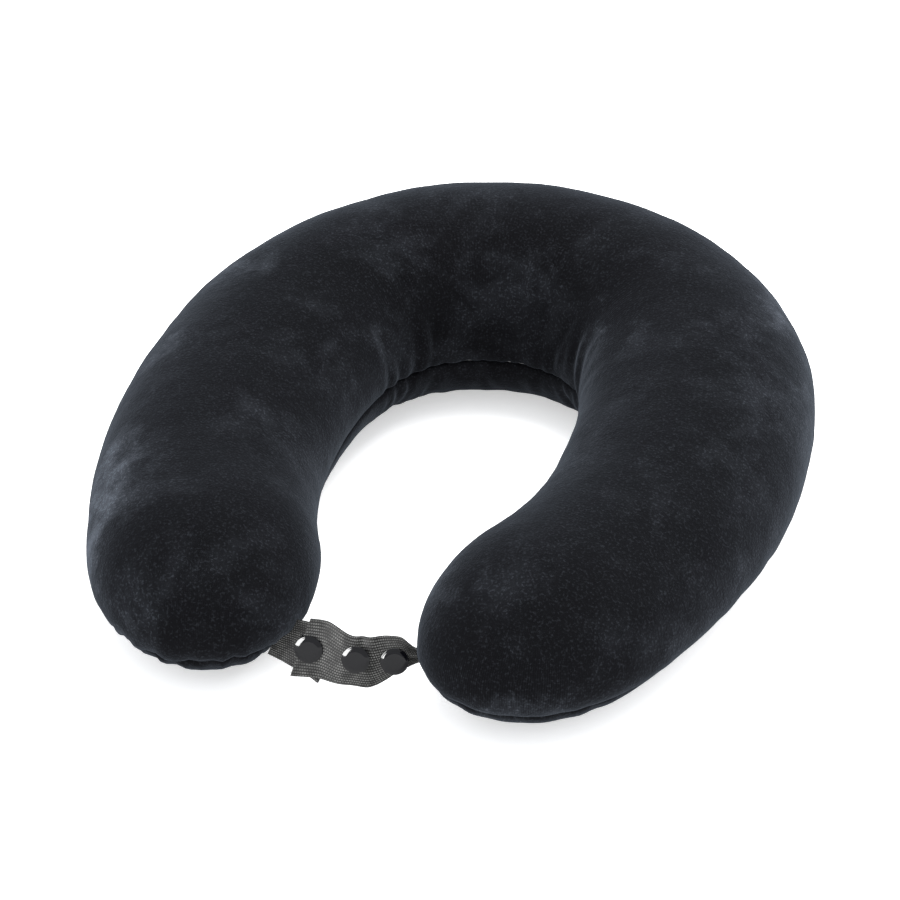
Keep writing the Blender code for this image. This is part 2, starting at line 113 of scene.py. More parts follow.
# Straps: their frame starts at the snapped pair, x towards the longer strap's root, y up, z outwards
STUD_POINT = Vector((-19.6, -155.4, 16.2)) * MM
STRAP_HEADING = 10.0 * DEGREE
STRAP_FALL = 5.0 * DEGREE
STRAP_LEAN = 12.0 * DEGREE
WEBBING_WIDTH = 24.0 * MM
FREE_END = 6.5 * MM
STUD_LAYER = -1.65 * MM
SOCKET_LAYER = 3.85 * MM
BOW = 4.0 * MM
SNAP_PITCH = 20.0 * MM
SNAP_FLAT = 6.0 * MM
THIRD_SNAP = 35.5 * MM
THIRD_LAYER = 4.4 * MM
THIRD_TILT = 6 * DEGREE
SOCKET_ROOT = 44.5 * MM
SOCKET_ROOT_HEIGHT = 1.2 * MM
# The long strap narrows along its upper edge, folds back near the second snap and gathers at its root
LONG_SAG = 0.8 * MM
UPPER_TAPER = 0.09
FOLD_PLACE = SNAP_PITCH - 1 * MM
FOLD_REACH = 8.0 * MM
FOLD_BACK = 2.7 * MM
LOWER_GATHER = 25.0 * MM
UPPER_GATHER = 36.0 * MM
GATHER_END = 48.0 * MM
GATHERED_LOW = 0.2 * MM
GATHERED_HIGH = 4.6 * MM
LONG_END_LEAN = 3.0 * MM
# The short strap turns down behind it
SHORT_TILT = 20 * DEGREE
SHORT_DROP = -1.0 * MM
SHORT_END = 10.0 * MM
SHORT_CURL = 3.2 * MM
SHORT_ROOT = 14.0 * MM
STUD_ROOT = 7.2 * MM
CAP_RADIUS = 5.9 * MM
FLANGE_RADIUS = 5.3 * MM
KNOB_RADIUS = 2.0 * MM
CAVITY_RADIUS = 3.0 * MM
PRONG_RADIUS = 0.8 * MM
THREAD_LENGTH = 1.3 * MM
THREAD_RADIUS = 0.11 * MM

# Relief of the cover: its rolled seam, its tucks, its unevenness and its pinches at the straps
SEAM_GAP = 0.12 * MM
ROLL_REACH = 0.9 * MM
UPPER_TUCK = 0.9 * MM
LOWER_TUCK = 1.3 * MM
TUCK_REACH = 6 * MM
FOLD_FADE = 25 * MM
ZIP_CALM_REACH = 14 * MM
LUMP_HEIGHT = 0.75 * MM
LUMP_SIZE = 34 * MM
RIPPLE_HEIGHT = 0.22 * MM
RIPPLE_SIZE = 9 * MM
ROOT_PINCH = 3.0 * MM
PINCH_REACH = 8 * MM
BASE_FADE = 6 * MM
SWELL_REACH = 9 * MM
MERGE_DISTANCE = 0.0005 * MM

# The coarse copy that the filling pushes out
COARSE_STEP = 5.0 * MM
COARSE_INSET = 1.5 * MM
VOXEL_SIZE = 5.0 * MM
SETTLING_FRAMES = 20
FILLING_PRESSURE = 9.0

# Zip's tapes, coil turns and stitches
TAPE_INNER_EDGE = 0.45 * MM
TAPE_OUTER_EDGE = 6.05 * MM
COIL_TURNS = 150
COIL_BEAD = (0.75 * MM, 0.42 * MM, 1.35 * MM)
STITCHES = 88
STITCH_BEAD = (0.30 * MM, 0.95 * MM, 0.28 * MM)

# Camera and floor
CAMERA_AZIMUTH = 16.165 * DEGREE
CAMERA_ELEVATION = 28.984 * DEGREE
CAMERA_DISTANCE = 1.1575
CAMERA_LENS = 101.86
CAMERA_SHIFT = (-0.01265, -0.0400)
FLOOR_RADIUS = 14.0


# ---- What a user may change ----------------------------------------------------------------------

def size(name, description, default, **limits):
    return FloatProperty(name=name, description=description, default=default, subtype="DISTANCE",
                         unit="LENGTH", precision=5, **limits)


def colour(name, description, default):
    return FloatVectorProperty(name=name, description=description, default=default, subtype="COLOR",
                               size=3, min=0.0, max=1.0)


class PillowForm(PropertyGroup):
    thickness: size("Plush thickness", "Thickness of the cover's fabric", PLUSH_THICKNESS)
    swell: size("Swell", "The furthest that the filling pushes the cover out", 4.0 * MM)
    seam_depth: size("Seam depth", "How deep the seam draws the cover in", 2.6 * MM)
    row_step: size("Row step", "Spacing of the cover's rows of faces", 3.0 * MM)
    fold_depth: size("Fold depth", "Depth of the deepest folds beside the seam", 1.5 * MM)
    seed: IntProperty(name="Seed", description="Places the folds and the loose threads", default=11, min=0)


class PillowStraps(PropertyGroup):
    cord_pitch: size("Cord pitch", "Spacing of the webbing's lengthwise cords", 1.2 * MM)
    pick_pitch: size("Pick pitch", "Spacing of the webbing's crosswise threads", 0.95 * MM)
    cord_height: size("Cord height", "How far the webbing's cords stand up", 0.16 * MM)
    thickness: size("Webbing thickness", "Thickness of the webbing", 1.15 * MM)
    cup: size("Cup", "How far the long strap's edges bend back", 1.8 * MM)
    thread_count: IntProperty(name="Loose threads", description="Threads along a cut end",
                              default=34, min=0)


class PillowLooks(PropertyGroup):
    plush_dark: colour("Plush, smooth", "The cover's colour where its nap lies flat",
                       (0.0046, 0.0046, 0.0052))
    # The light colour is laid where the nap is stroked up and, as painted sheen, along the cover's edges.
    plush_light: colour("Plush, brushed", "The cover's colour where its nap is brushed up",
                        (0.066, 0.073, 0.086))
    webbing_dark: colour("Webbing", "Colour of the webbing's ground", (0.0035, 0.0035, 0.0035))
    webbing_fleck: colour("Webbing flecks", "Colour of the webbing's pale picks", (0.19, 0.19, 0.18))
    snap: colour("Snaps", "Colour of the press snaps", (0.0025, 0.0025, 0.0035))
    foam: colour("Foam", "Colour of the foam core", (0.80, 0.74, 0.56))
    jersey: colour("Jersey", "Colour of the liner", (0.60, 0.60, 0.58))
    satin: colour("Satin", "Colour of the blank label", (0.42, 0.42, 0.41))


# ---- Shader helpers --------------------------------------------------------------------------------

def add(tree, kind, values=None, **settings):
    """Add a node; a value that is a socket is linked and any other is set."""
    node = tree.nodes.new(kind)
    for key, value in settings.items():
        setattr(node, key, value)
    for key, value in (values or {}).items():
        if isinstance(value, bpy.types.NodeSocket):
            tree.links.new(value, node.inputs[key])
        else:
            node.inputs[key].default_value = value
    return node


def maths(tree, operation, a, b=0.0, c=0.0):
    return add(tree, "ShaderNodeMath", {0: a, 1: b, 2: c}, operation=operation).outputs[0]


def ramp(tree, value, low, high, to_low=0.0, to_high=1.0):
    """Map low..high smoothly to to_low..to_high."""
    node = add(tree, "ShaderNodeMapRange", {"Value": value, "From Min": low, "From Max": high,
                                            "To Min": to_low, "To Max": to_high},
               interpolation_type="SMOOTHSTEP")
    return node.outputs["Result"]


def mix(tree, factor, a, b):
    """Blend two colours; a Mix node's colour sockets are inputs 6 and 7 and output 2."""
    return add(tree, "ShaderNodeMix", {0: factor, 6: a, 7: b}, data_type="RGBA").outputs[2]


def noise_texture(tree, vector, scale, detail=2.0, roughness=0.5, distortion=0.0):
    node = add(tree, "ShaderNodeTexNoise", {"Vector": vector, "Scale": scale, "Detail": detail,
                                            "Roughness": roughness, "Distortion": distortion})
    return node.outputs["Fac"]


def shader_group(name, inputs, outputs):
    """A group with the given sockets; inputs are (name, type, default)."""
    tree = bpy.data.node_groups.new(name, "ShaderNodeTree")
    for label, kind, default in inputs:
        tree.interface.new_socket(label, in_out="INPUT", socket_type=kind).default_value = default
    for label, kind in outputs:
        tree.interface.new_socket(label, in_out="OUTPUT", socket_type=kind)
    return tree, tree.nodes.new("NodeGroupInput").outputs, tree.nodes.new("NodeGroupOutput").inputs


def group_node(tree, group, values):
    return add(tree, "ShaderNodeGroup", values, node_tree=group)


def found_or_made(name, build):
    return bpy.data.node_groups.get(name) or build()


def nap_group():
    """Pile: fine painted glints where single fibres catch the light, cloudy patches where the nap lies
    another way, and faint ribs; patches and ribs are strongest where the nap is stroked up and where
    painted sheen lightens the edges.
    """
    tree, given, result = shader_group(
        "nap", [("Vector", "NodeSocketVector", (0, 0, 0)), ("Along", "NodeSocketFloat", 0.0),
                ("Dark", "NodeSocketColor", (0, 0, 0, 1)), ("Light", "NodeSocketColor", (1, 1, 1, 1)),
                ("Brushed_And_Sheen", "NodeSocketFloat", 0.0), ("Fibre Scale", "NodeSocketFloat", 900.0),
                ("Cloud Scale", "NodeSocketFloat", 26.0), ("Rib Pitch", "NodeSocketFloat", 0.00095)],
        [("Color", "NodeSocketColor"), ("Height", "NodeSocketFloat")])
    fibre = noise_texture(tree, given["Vector"], given["Fibre Scale"], 2.0, 0.65)
    tuft = noise_texture(tree, given["Vector"], maths(tree, "MULTIPLY", given["Fibre Scale"], 0.34),
                         2.0, 0.6)
    cloud = noise_texture(tree, given["Vector"], given["Cloud Scale"], 5.0, 0.66, 0.3)
    wander = noise_texture(tree, given["Vector"], 70.0, 2.0, 0.5)
    rib = maths(tree, "SINE", maths(tree, "ADD", maths(tree, "DIVIDE", given["Along"],
                                                    maths(tree, "DIVIDE", given["Rib Pitch"], math.tau)),
                                    maths(tree, "MULTIPLY", wander, 9.0)))
    # Painted glints: fine light dots where single fibres catch the light.
    fibre_glint = ramp(tree, fibre, 0.50, 0.74)
    # Patches and ribs follow the stroked-up nap and the painted sheen along the edges.
    patch = maths(tree, "MULTIPLY", ramp(tree, cloud, 0.44, 0.72),
                  maths(tree, "MULTIPLY_ADD", given["Brushed_And_Sheen"], 1.5, 0.07))
    ribbed = maths(tree, "MULTIPLY", maths(tree, "MULTIPLY", rib, given["Brushed_And_Sheen"]), 0.14)
    lift = maths(tree, "ADD", patch, ribbed)
    lift = maths(tree, "MULTIPLY", lift, maths(tree, "MULTIPLY_ADD", fibre_glint, 0.9, 0.55))
    lift = maths(tree, "MULTIPLY_ADD", fibre_glint, 0.13, lift)
    lift = add(tree, "ShaderNodeClamp", {"Value": lift}).outputs[0]
    tree.links.new(mix(tree, lift, given["Dark"], given["Light"]), result["Color"])
    height = maths(tree, "MULTIPLY_ADD", tuft, 0.8, fibre)
    height = maths(tree, "MULTIPLY_ADD", ribbed, 0.9, height)
    tree.links.new(height, result["Height"])
    return tree


def weave_group():
    """Cords with crossing picks in the plane of a UV map that is in metres."""
    tree, given, result = shader_group(
        "weave", [("Vector", "NodeSocketVector", (0, 0, 0)), ("Cord Pitch", "NodeSocketFloat", 0.0012),
                  ("Pick Pitch", "NodeSocketFloat", 0.00095), ("Stagger", "NodeSocketFloat", 0.5),
                  ("Ground", "NodeSocketColor", (0, 0, 0, 1)), ("Fleck", "NodeSocketColor", (1, 1, 1, 1)),
                  ("Fleck Share", "NodeSocketFloat", 0.6)],
        [("Color", "NodeSocketColor"), ("Height", "NodeSocketFloat")])
    place = add(tree, "ShaderNodeSeparateXYZ", {"Vector": given["Vector"]}).outputs
    cord = maths(tree, "DIVIDE", place["Y"], given["Cord Pitch"])
    row = maths(tree, "FLOOR", cord)
    pick = maths(tree, "MULTIPLY_ADD", row, given["Stagger"],
                 maths(tree, "DIVIDE", place["X"], given["Pick Pitch"]))
    across = maths(tree, "ABSOLUTE", maths(tree, "SUBTRACT", maths(tree, "FRACT", cord), 0.5))
    along = maths(tree, "ABSOLUTE", maths(tree, "SUBTRACT", maths(tree, "FRACT", pick), 0.5))
    crest = maths(tree, "MULTIPLY", ramp(tree, across, 0.42, 0.12), ramp(tree, along, 0.47, 0.22))
    wander = noise_texture(tree, given["Vector"], 190.0, 2.0, 0.6)
    strand = noise_texture(tree, given["Vector"], 2600.0, 1.0, 0.5)
    shade = maths(tree, "MULTIPLY", crest, ramp(tree, wander, 0.30, 0.66, 0.25, 1.0))
    shade = maths(tree, "MULTIPLY", shade, ramp(tree, strand, 0.25, 0.75, 0.55, 1.1))
    shade = maths(tree, "MULTIPLY", shade, given["Fleck Share"])
    tree.links.new(mix(tree, shade, given["Ground"], given["Fleck"]), result["Color"])
    tree.links.new(maths(tree, "MULTIPLY_ADD", strand, 0.25, crest), result["Height"])
    return tree


def scuff_group():
    """Small scratches and handling marks: a roughness that varies, and a fine height."""
    tree, given, result = shader_group(
        "scuff", [("Vector", "NodeSocketVector", (0, 0, 0)), ("Smooth", "NodeSocketFloat", 0.15),
                  ("Worn", "NodeSocketFloat", 0.4), ("Scale", "NodeSocketFloat", 400.0)],
        [("Roughness", "NodeSocketFloat"), ("Height", "NodeSocketFloat")])
    grain = noise_texture(tree, given["Vector"], given["Scale"], 4.0, 0.65)
    smear = noise_texture(tree, given["Vector"], maths(tree, "MULTIPLY", given["Scale"], 0.2),
                          3.0, 0.55, 1.2)
    worn = maths(tree, "MULTIPLY", ramp(tree, smear, 0.42, 0.75), ramp(tree, grain, 0.30, 0.70, 0.4, 1.0))
    span = maths(tree, "SUBTRACT", given["Worn"], given["Smooth"])
    tree.links.new(maths(tree, "MULTIPLY_ADD", worn, span, given["Smooth"]), result["Roughness"])
    tree.links.new(grain, result["Height"])
    return tree


def principled(name, **sockets):
    """A material whose Principled shader has the given plain values."""
    made = bpy.data.materials.new(name)
    made.use_nodes = True
    shader = made.node_tree.nodes["Principled BSDF"]
    for key, value in sockets.items():
        shader.inputs[key.replace("_", " ")].default_value = value
    return made, made.node_tree, shader


def bumped(tree, shader, height, strength, distance):
    bump = add(tree, "ShaderNodeBump", {"Height": height, "Strength": strength, "Distance": distance})
    tree.links.new(bump.outputs["Normal"], shader.inputs["Normal"])


def object_place(tree):
    return tree.nodes.new("ShaderNodeTexCoord").outputs["Object"]


def plush_material():
    looks = bpy.context.scene.pillow_looks
    made, tree, shader = principled("plush_velour", Roughness=0.95, Sheen_Weight=0.13,
                                    Sheen_Roughness=0.38, Sheen_Tint=(0.60, 0.68, 0.80, 1.0),
                                    Specular_IOR_Level=0.0)
    # This attribute lightens the base colour where the nap is stroked up and, as painted sheen, along the
    # cover's edges.
    brushed_and_sheen = add(tree, "ShaderNodeAttribute", attribute_name="brushed_and_sheen").outputs["Fac"]
    along = add(tree, "ShaderNodeSeparateXYZ",
                {"Vector": add(tree, "ShaderNodeUVMap", uv_map="surface").outputs["UV"]}).outputs["X"]
    nap = group_node(tree, found_or_made("nap", nap_group), {
        "Vector": object_place(tree), "Along": along, "Brushed_And_Sheen": brushed_and_sheen,
        "Dark": (*looks.plush_dark, 1.0), "Light": (*looks.plush_light, 1.0)})
    tree.links.new(nap.outputs["Color"], shader.inputs["Base Color"])
    bumped(tree, shader, nap.outputs["Height"], 0.55, 0.5 * MM)
    return made


def woven_material(name, ground, fleck, share, cord, pick, strength, **sockets):
    made, tree, shader = principled(name, **sockets)
    uv = add(tree, "ShaderNodeUVMap", uv_map="surface").outputs["UV"]
    weave = group_node(tree, found_or_made("weave", weave_group), {
        "Vector": uv, "Cord Pitch": cord, "Pick Pitch": pick, "Ground": (*ground, 1.0),
        "Fleck": (*fleck, 1.0), "Fleck Share": share})
    tree.links.new(weave.outputs["Color"], shader.inputs["Base Color"])
    bumped(tree, shader, weave.outputs["Height"], strength, 0.12 * MM)
    return made


def scuffed_material(name, color, smooth, worn, scale, strength, **sockets):
    made, tree, shader = principled(name, Base_Color=(*color, 1.0), **sockets)
    scuff = group_node(tree, found_or_made("scuff", scuff_group), {
        "Vector": object_place(tree), "Smooth": smooth, "Worn": worn, "Scale": scale})
    tree.links.new(scuff.outputs["Roughness"], shader.inputs["Roughness"])
    bumped(tree, shader, scuff.outputs["Height"], strength, 0.03 * MM)
    return made


def foam_material():
    looks = bpy.context.scene.pillow_looks
    made, tree, shader = principled("memory_foam", Roughness=0.95, Subsurface_Weight=0.1)
    place = object_place(tree)
    cell = add(tree, "ShaderNodeTexVoronoi", {"Vector": place, "Scale": 900.0}).outputs["Distance"]
    tone = noise_texture(tree, place, 40.0, 3.0)
    pale = tuple(looks.foam)
    deep = tuple(channel * 0.72 for channel in pale)
    shade = maths(tree, "MULTIPLY", ramp(tree, cell, 0.1, 0.6), ramp(tree, tone, 0.3, 0.7, 0.6, 1.0))
    tree.links.new(mix(tree, shade, (*deep, 1.0), (*pale, 1.0)), shader.inputs["Base Color"])
    bumped(tree, shader, cell, 0.5, 0.3 * MM)
    return made


def webbing_material():
    looks, straps = bpy.context.scene.pillow_looks, bpy.context.scene.pillow_straps
    return woven_material("twill_webbing", looks.webbing_dark, looks.webbing_fleck, 0.85, straps.cord_pitch,
                          straps.pick_pitch, 0.5, Roughness=0.62, Specular_IOR_Level=0.12)


def material(name, build):
    return bpy.data.materials.get(name) or build()


def metal_material():
    return material("blackened_metal", lambda: scuffed_material(
        "blackened_metal", (0.035, 0.035, 0.038), 0.24, 0.5, 900.0, 0.15, Metallic=0.9))


def snap_material():
    looks = bpy.context.scene.pillow_looks
    return material("snap_gloss", lambda: scuffed_material(
        "snap_gloss", looks.snap, 0.07, 0.16, 500.0, 0.02, Specular_IOR_Level=0.2))


def thread_material(name, tone):
    return material(name, lambda: scuffed_material(name, tone, 0.6, 0.9, 3000.0, 0.4))


# ---- Mesh helpers ----------------------------------------------------------------------------------

@contextmanager
def edited(data):
    """A mesh opened for editing, written back and freed at the end."""
    mesh = bmesh.new()
    mesh.from_mesh(data)
    yield mesh
    mesh.to_mesh(data)
    mesh.free()


def open_edges(mesh):
    return [edge for edge in mesh.edges if edge.is_boundary]


def object_of(name, data, *surfaces):
    for surface in surfaces:
        data.materials.append(surface)
    made = bpy.data.objects.new(name, data)
    bpy.context.scene.collection.objects.link(made)
    return made


def grid_mesh(name, points, uvs, closed_rows=False, flip=False, attributes=None):
    """A mesh of a grid of points (rows, columns, 3), with its UV map in metres; doubles are merged."""
    rows, columns = points.shape[:2]
    index = np.arange(rows * columns).reshape(rows, columns)
    following = np.roll(index, -1, axis=0) if closed_rows else index[1:]
    current = index if closed_rows else index[:-1]
    corners = [current[:, :-1], current[:, 1:], following[:, 1:], following[:, :-1]]
    if flip:
        corners.reverse()
    faces = np.stack(corners, axis=-1).reshape(-1, 4)
    data = bpy.data.meshes.new(name)
    data.from_pydata(points.reshape(-1, 3).tolist(), [], faces.tolist())
    for label, values in (attributes or {}).items():
        named = data.attributes.new(label, "FLOAT", "POINT")
        named.data.foreach_set("value", values.ravel().astype(np.float32))
    flat = uvs.reshape(-1, 2)[faces.ravel()]
    layer = data.uv_layers.new(name="surface")
    layer.data.foreach_set("uv", flat.ravel().astype(np.float32))
    with edited(data) as mesh:
        bmesh.ops.remove_doubles(mesh, verts=mesh.verts, dist=MERGE_DISTANCE)
    data.shade_smooth()
    return data


def thickened(made, thickness, offset=-1.0):
    """Apply a wall of even thickness to an object's mesh."""
    shell = made.modifiers.new("thickness", "SOLIDIFY")
    shell.thickness = thickness
    shell.offset = offset
    return applied(made)


def applied(made):
    """Replace an object's mesh with its evaluated one and clear its modifiers."""
    depsgraph = bpy.context.evaluated_depsgraph_get()
    data = bpy.data.meshes.new_from_object(made.evaluated_get(depsgraph))
    old = made.data
    made.modifiers.clear()
    made.data = data
    data.name = made.name
    bpy.data.meshes.remove(old)
    return made


def ease(t):
    return (1 - np.cos(np.pi * t)) / 2


def normals_of(points, closed_rows):
    """Outward unit normals of a grid of points whose columns run up from the base."""
    if closed_rows:
        along = np.roll(points, -1, axis=0) - np.roll(points, 1, axis=0)
    else:
        along = np.gradient(points, axis=0)
    up = np.gradient(points, axis=1)
    normal = np.cross(up, along)
    length = np.linalg.norm(normal, axis=-1, keepdims=True)
    straight = np.zeros_like(points)
    straight[..., 2] = 1.0
    return np.where(length > 1e-11, normal / np.maximum(length, 1e-11), straight)


def noise_at(points, scale, seed):
    """Smooth noise of about -1..1 at each point."""
    shift = Vector((seed * 7.3, seed * 3.1, seed * 5.7))
    flat = points.reshape(-1, 3)
    values = [noise.noise(Vector(point) / scale + shift) for point in flat.tolist()]
    return np.array(values).reshape(points.shape[:-1])


# ---- The U-shaped form ---------------------------------------------------------------------------

def half_outline(step):
    """Half of the outline from the nape's outer side round the tip to its inner side, as arrays."""
    nape_steps = round(NAPE_LENGTH * 1.4 / step)
    arm_steps = round(ARM_LENGTH * 1.1 / step)
    tip_steps = round(math.pi * TIP_HALF_WIDTH * 1.2 / step)
    along = np.concatenate([np.linspace(0, NAPE_LENGTH, nape_steps, endpoint=False),
                            NAPE_LENGTH + np.linspace(0, ARM_LENGTH, arm_steps + 1)])
    arm = np.maximum(0, along - NAPE_LENGTH)
    angle = np.minimum(along, NAPE_LENGTH) / NAPE_RADIUS + arm / ARM_RADIUS
    outward = np.stack([np.sin(angle), np.cos(angle)], axis=1)
    knee = np.array([math.sin(NAPE_HALF_ANGLE), math.cos(NAPE_HALF_ANGLE)])
    on_arm = knee * (NAPE_RADIUS - ARM_RADIUS) + outward * ARM_RADIUS
    point = np.where(arm[:, None] > 0, on_arm, outward * NAPE_RADIUS)
    narrowing, lowering = ease(arm / ARM_LENGTH), ease(along / (NAPE_LENGTH + ARM_LENGTH))
    sizes = np.stack([NAPE_HALF_WIDTH + (TIP_HALF_WIDTH - NAPE_HALF_WIDTH) * narrowing,
                      NAPE_BELLY + (TIP_BELLY - NAPE_BELLY) * narrowing,
                      NAPE_HEIGHT + (TIP_HEIGHT - NAPE_HEIGHT) * lowering], axis=1)
    turn = np.pi * np.arange(1, tip_steps) / tip_steps
    onward = np.array([outward[-1, 1], -outward[-1, 0]])
    round_tip = outward[-1] * np.cos(turn)[:, None] + onward * np.sin(turn)[:, None] * TIP_REACH
    last = np.full(tip_steps - 1, len(along) - 1)
    order = np.concatenate([np.arange(len(along)), last, np.arange(len(along))[::-1]])
    facing = np.concatenate([outward, round_tip, -outward[::-1]])
    turned = np.concatenate([np.zeros(len(along)), turn, np.full(len(along), np.pi)])
    return point[order], facing, sizes[order], turned


def outline(step):
    """The whole outline as a closed ring of rows: the +X half, then the -X half back to the start."""
    point, facing, sizes, turn = half_outline(step)
    back = slice(-2, 0, -1)
    flip = np.array([-1.0, 1.0])
    side = np.concatenate([np.ones(len(turn)), -np.ones(len(turn) - 2)])
    return (np.concatenate([point, point[back] * flip]), np.concatenate([facing, facing[back] * flip]),
            np.concatenate([sizes, sizes[back]]), np.concatenate([turn, turn[back]]), side)


def strap_roots():
    """Where each strap enters the cover: (+X side, -X side)."""
    matrix = strap_frame()
    return (matrix @ Vector((SOCKET_ROOT, 1.75 * MM, SOCKET_ROOT_HEIGHT)),
            matrix @ Vector((-STUD_ROOT, -4.2 * MM, STUD_LAYER)))


def dense_section(size_row, inset):
    """Half a cross-section from the base's middle to the ridge: points, lengths and lower-edge angles."""
    half_width, belly, height = size_row
    flat = half_width - CORNER_WIDTH
    low = np.linspace(0, np.pi / 2, 70)
    high = np.linspace(0, np.pi / 2, 110)[1:]
    across = np.concatenate([np.linspace(0, flat, 14)[:-1], flat + (CORNER_WIDTH - inset) * np.sin(low),
                             (half_width - inset) * np.cos(high)])
    up = np.concatenate([np.full(13, inset), inset + (belly - inset) * (1 - np.cos(low)),
                         belly + (height - inset - belly) * np.sin(high)])
    length = np.concatenate([[0], np.cumsum(np.hypot(np.diff(across), np.diff(up)))])
    return across, up, length, length[13:13 + len(low)], low


def seam_lengths(rows, inset):
    """Each row's length from the base's middle to its seam; the seam dips to meet the straps."""
    point, facing, sizes, turn, side = rows
    angle = OUTER_SEAM_ANGLE + (INNER_SEAM_ANGLE - OUTER_SEAM_ANGLE) * ease(turn / np.pi)
    rim = point + facing * sizes[:, :1]
    for root, sign in zip(strap_roots(), (1, -1)):
        level = math.acos(1 - root.z / TIP_BELLY)
        away = np.hypot(*(rim + NAPE_CENTRE - np.array(root)[:2]).T)
        angle += (level - angle) * np.exp(-(away / (17 * MM)) ** 2) * (side == sign)
    found = []
    for size_row, seam_angle in zip(sizes, angle):
        _, _, _, length, low = dense_section(size_row, inset)
        found.append(np.interp(seam_angle, low, length))
    return np.array(found)


def zip_opening(rows):
    """Half the height that the cover leaves open for the zip at each row, 0 away from it."""
    point, _, _, turn, _ = rows
    bearing = np.arctan2(point[:, 0], point[:, 1])
    room = np.clip((SLOT_HALF_ANGLE - np.abs(bearing)) / (1.5 * DEGREE), 0, 1)
    return SLOT_HALF_HEIGHT * np.sqrt(room) * (turn == 0)


def spread(count, first=0.2, reach=0.12):
    """Shares 0..1 that start close together and then grow even."""
    t = np.linspace(0, 1, count)
    share = t - (1 - first) * reach * (1 - np.exp(-t / reach))
    return share / share[-1]


def form_grid(rows, inset, seam, start, shares, upward):
    """Grid of points from the seam to the ridge (upward) or to the base's middle, and their distances."""
    point, facing, sizes, _, _ = rows
    grid = np.empty((len(point), len(shares), 3))
    away = np.empty((len(point), len(shares)))
    for i, size_row in enumerate(sizes):
        across, up, length, _, _ = dense_section(size_row, inset)
        whole = (length[-1] - seam[i] if upward else seam[i]) - start[i]
        away[i] = start[i] + shares * whole
        at = seam[i] + away[i] if upward else seam[i] - away[i]
        grid[i, :, :2] = NAPE_CENTRE + point[i] + facing[i] * np.interp(at, length, across)[:, None]
        grid[i, :, 2] = np.interp(at, length, up)
    return grid, away


def whole_grid(rows, inset, count):
    """Grid of points from the base's middle over the seam to the ridge, and the seam's own points."""
    seam = seam_lengths(rows, inset)
    none = np.zeros(len(seam))
    shares = np.linspace(0, 1, count)
    above, _ = form_grid(rows, inset, seam, none, shares, True)
    below, _ = form_grid(rows, inset, seam, none, shares, False)
    return np.concatenate([below[:, ::-1], above[:, 1:]], axis=1), above[:, 0]


def ring_lengths(rows):
    """Length along the seam to each row, from the nape's middle."""
    point, facing, sizes, _, _ = rows
    rim = point + facing * sizes[:, :1]
    return np.concatenate([[0], np.cumsum(np.hypot(*np.diff(rim, axis=0).T))])


# ---- Cover -----------------------------------------------------------------------------------------

def settle(rows):
    """Let the filling push the cover out between its seams; return a lookup of the movement."""
    form = bpy.context.scene.pillow_form
    whole, line = whole_grid(rows, COARSE_INSET, 24)
    data = grid_mesh("settling", whole, whole[..., :2], closed_rows=True)
    body = object_of("settling", data)
    remesh = body.modifiers.new("remesh", "REMESH")
    remesh.mode = "VOXEL"
    remesh.voxel_size = VOXEL_SIZE
    applied(body)
    rest = np.array([vertex.co for vertex in body.data.vertices])
    held = body.vertex_groups.new(name="held")
    for index, place in enumerate(rest):
        near = np.min(np.sum((line - place) ** 2, axis=1)) ** 0.5
        weight = max(math.exp(-(near / (6 * MM)) ** 2), 1.0 if place[2] < 4 * MM else 0.0)
        held.add([index], weight, "REPLACE")
    cloth = body.modifiers.new("cloth", "CLOTH")
    cloth.settings.quality = 6
    cloth.settings.mass = 0.25
    cloth.settings.use_pressure = True
    cloth.settings.uniform_pressure_force = FILLING_PRESSURE
    cloth.settings.tension_stiffness = cloth.settings.compression_stiffness = 18
    cloth.settings.bending_stiffness = 2.0
    cloth.settings.vertex_group_mass = "held"
    cloth.settings.effector_weights.gravity = 0.0
    cloth.point_cache.frame_end = SETTLING_FRAMES
    scene = bpy.context.scene
    for number in range(1, SETTLING_FRAMES + 1):
        scene.frame_set(number)
    moved = body.evaluated_get(bpy.context.evaluated_depsgraph_get())
    shift = np.array([vertex.co for vertex in moved.data.vertices]) - rest
    length = np.linalg.norm(shift, axis=1, keepdims=True)
    shift *= np.minimum(1.0, form.swell / np.maximum(length, 1e-9))
    corners = [list(face.vertices) for face in body.data.polygons]
    tree = BVHTree.FromPolygons(rest.tolist(), corners)
    scene.frame_set(1)
    bpy.data.objects.remove(body)

    def movement(place):
        near, _, index, _ = tree.find_nearest(place)
        ring = corners[index]
        weights = np.array([1.0 / (1e-6 + (Vector(rest[k]) - near).length) for k in ring])
        return (shift[ring] * weights[:, None]).sum(axis=0) / weights.sum()

    return movement


class Fold:
    """A crease that runs up or down from the seam at a place along it."""

    def __init__(self, at, width, length, depth, slant):
        self.at, self.width, self.length, self.depth, self.slant = at, width, length, depth, slant

    def push(self, along, away):
        beside = (along - self.at - self.slant * away) / self.width
        valley = np.exp(-beside ** 2) - 0.45 * np.exp(-(np.abs(beside) - 1.9) ** 2)
        return -self.depth * valley * np.exp(-(away / self.length) ** 2)


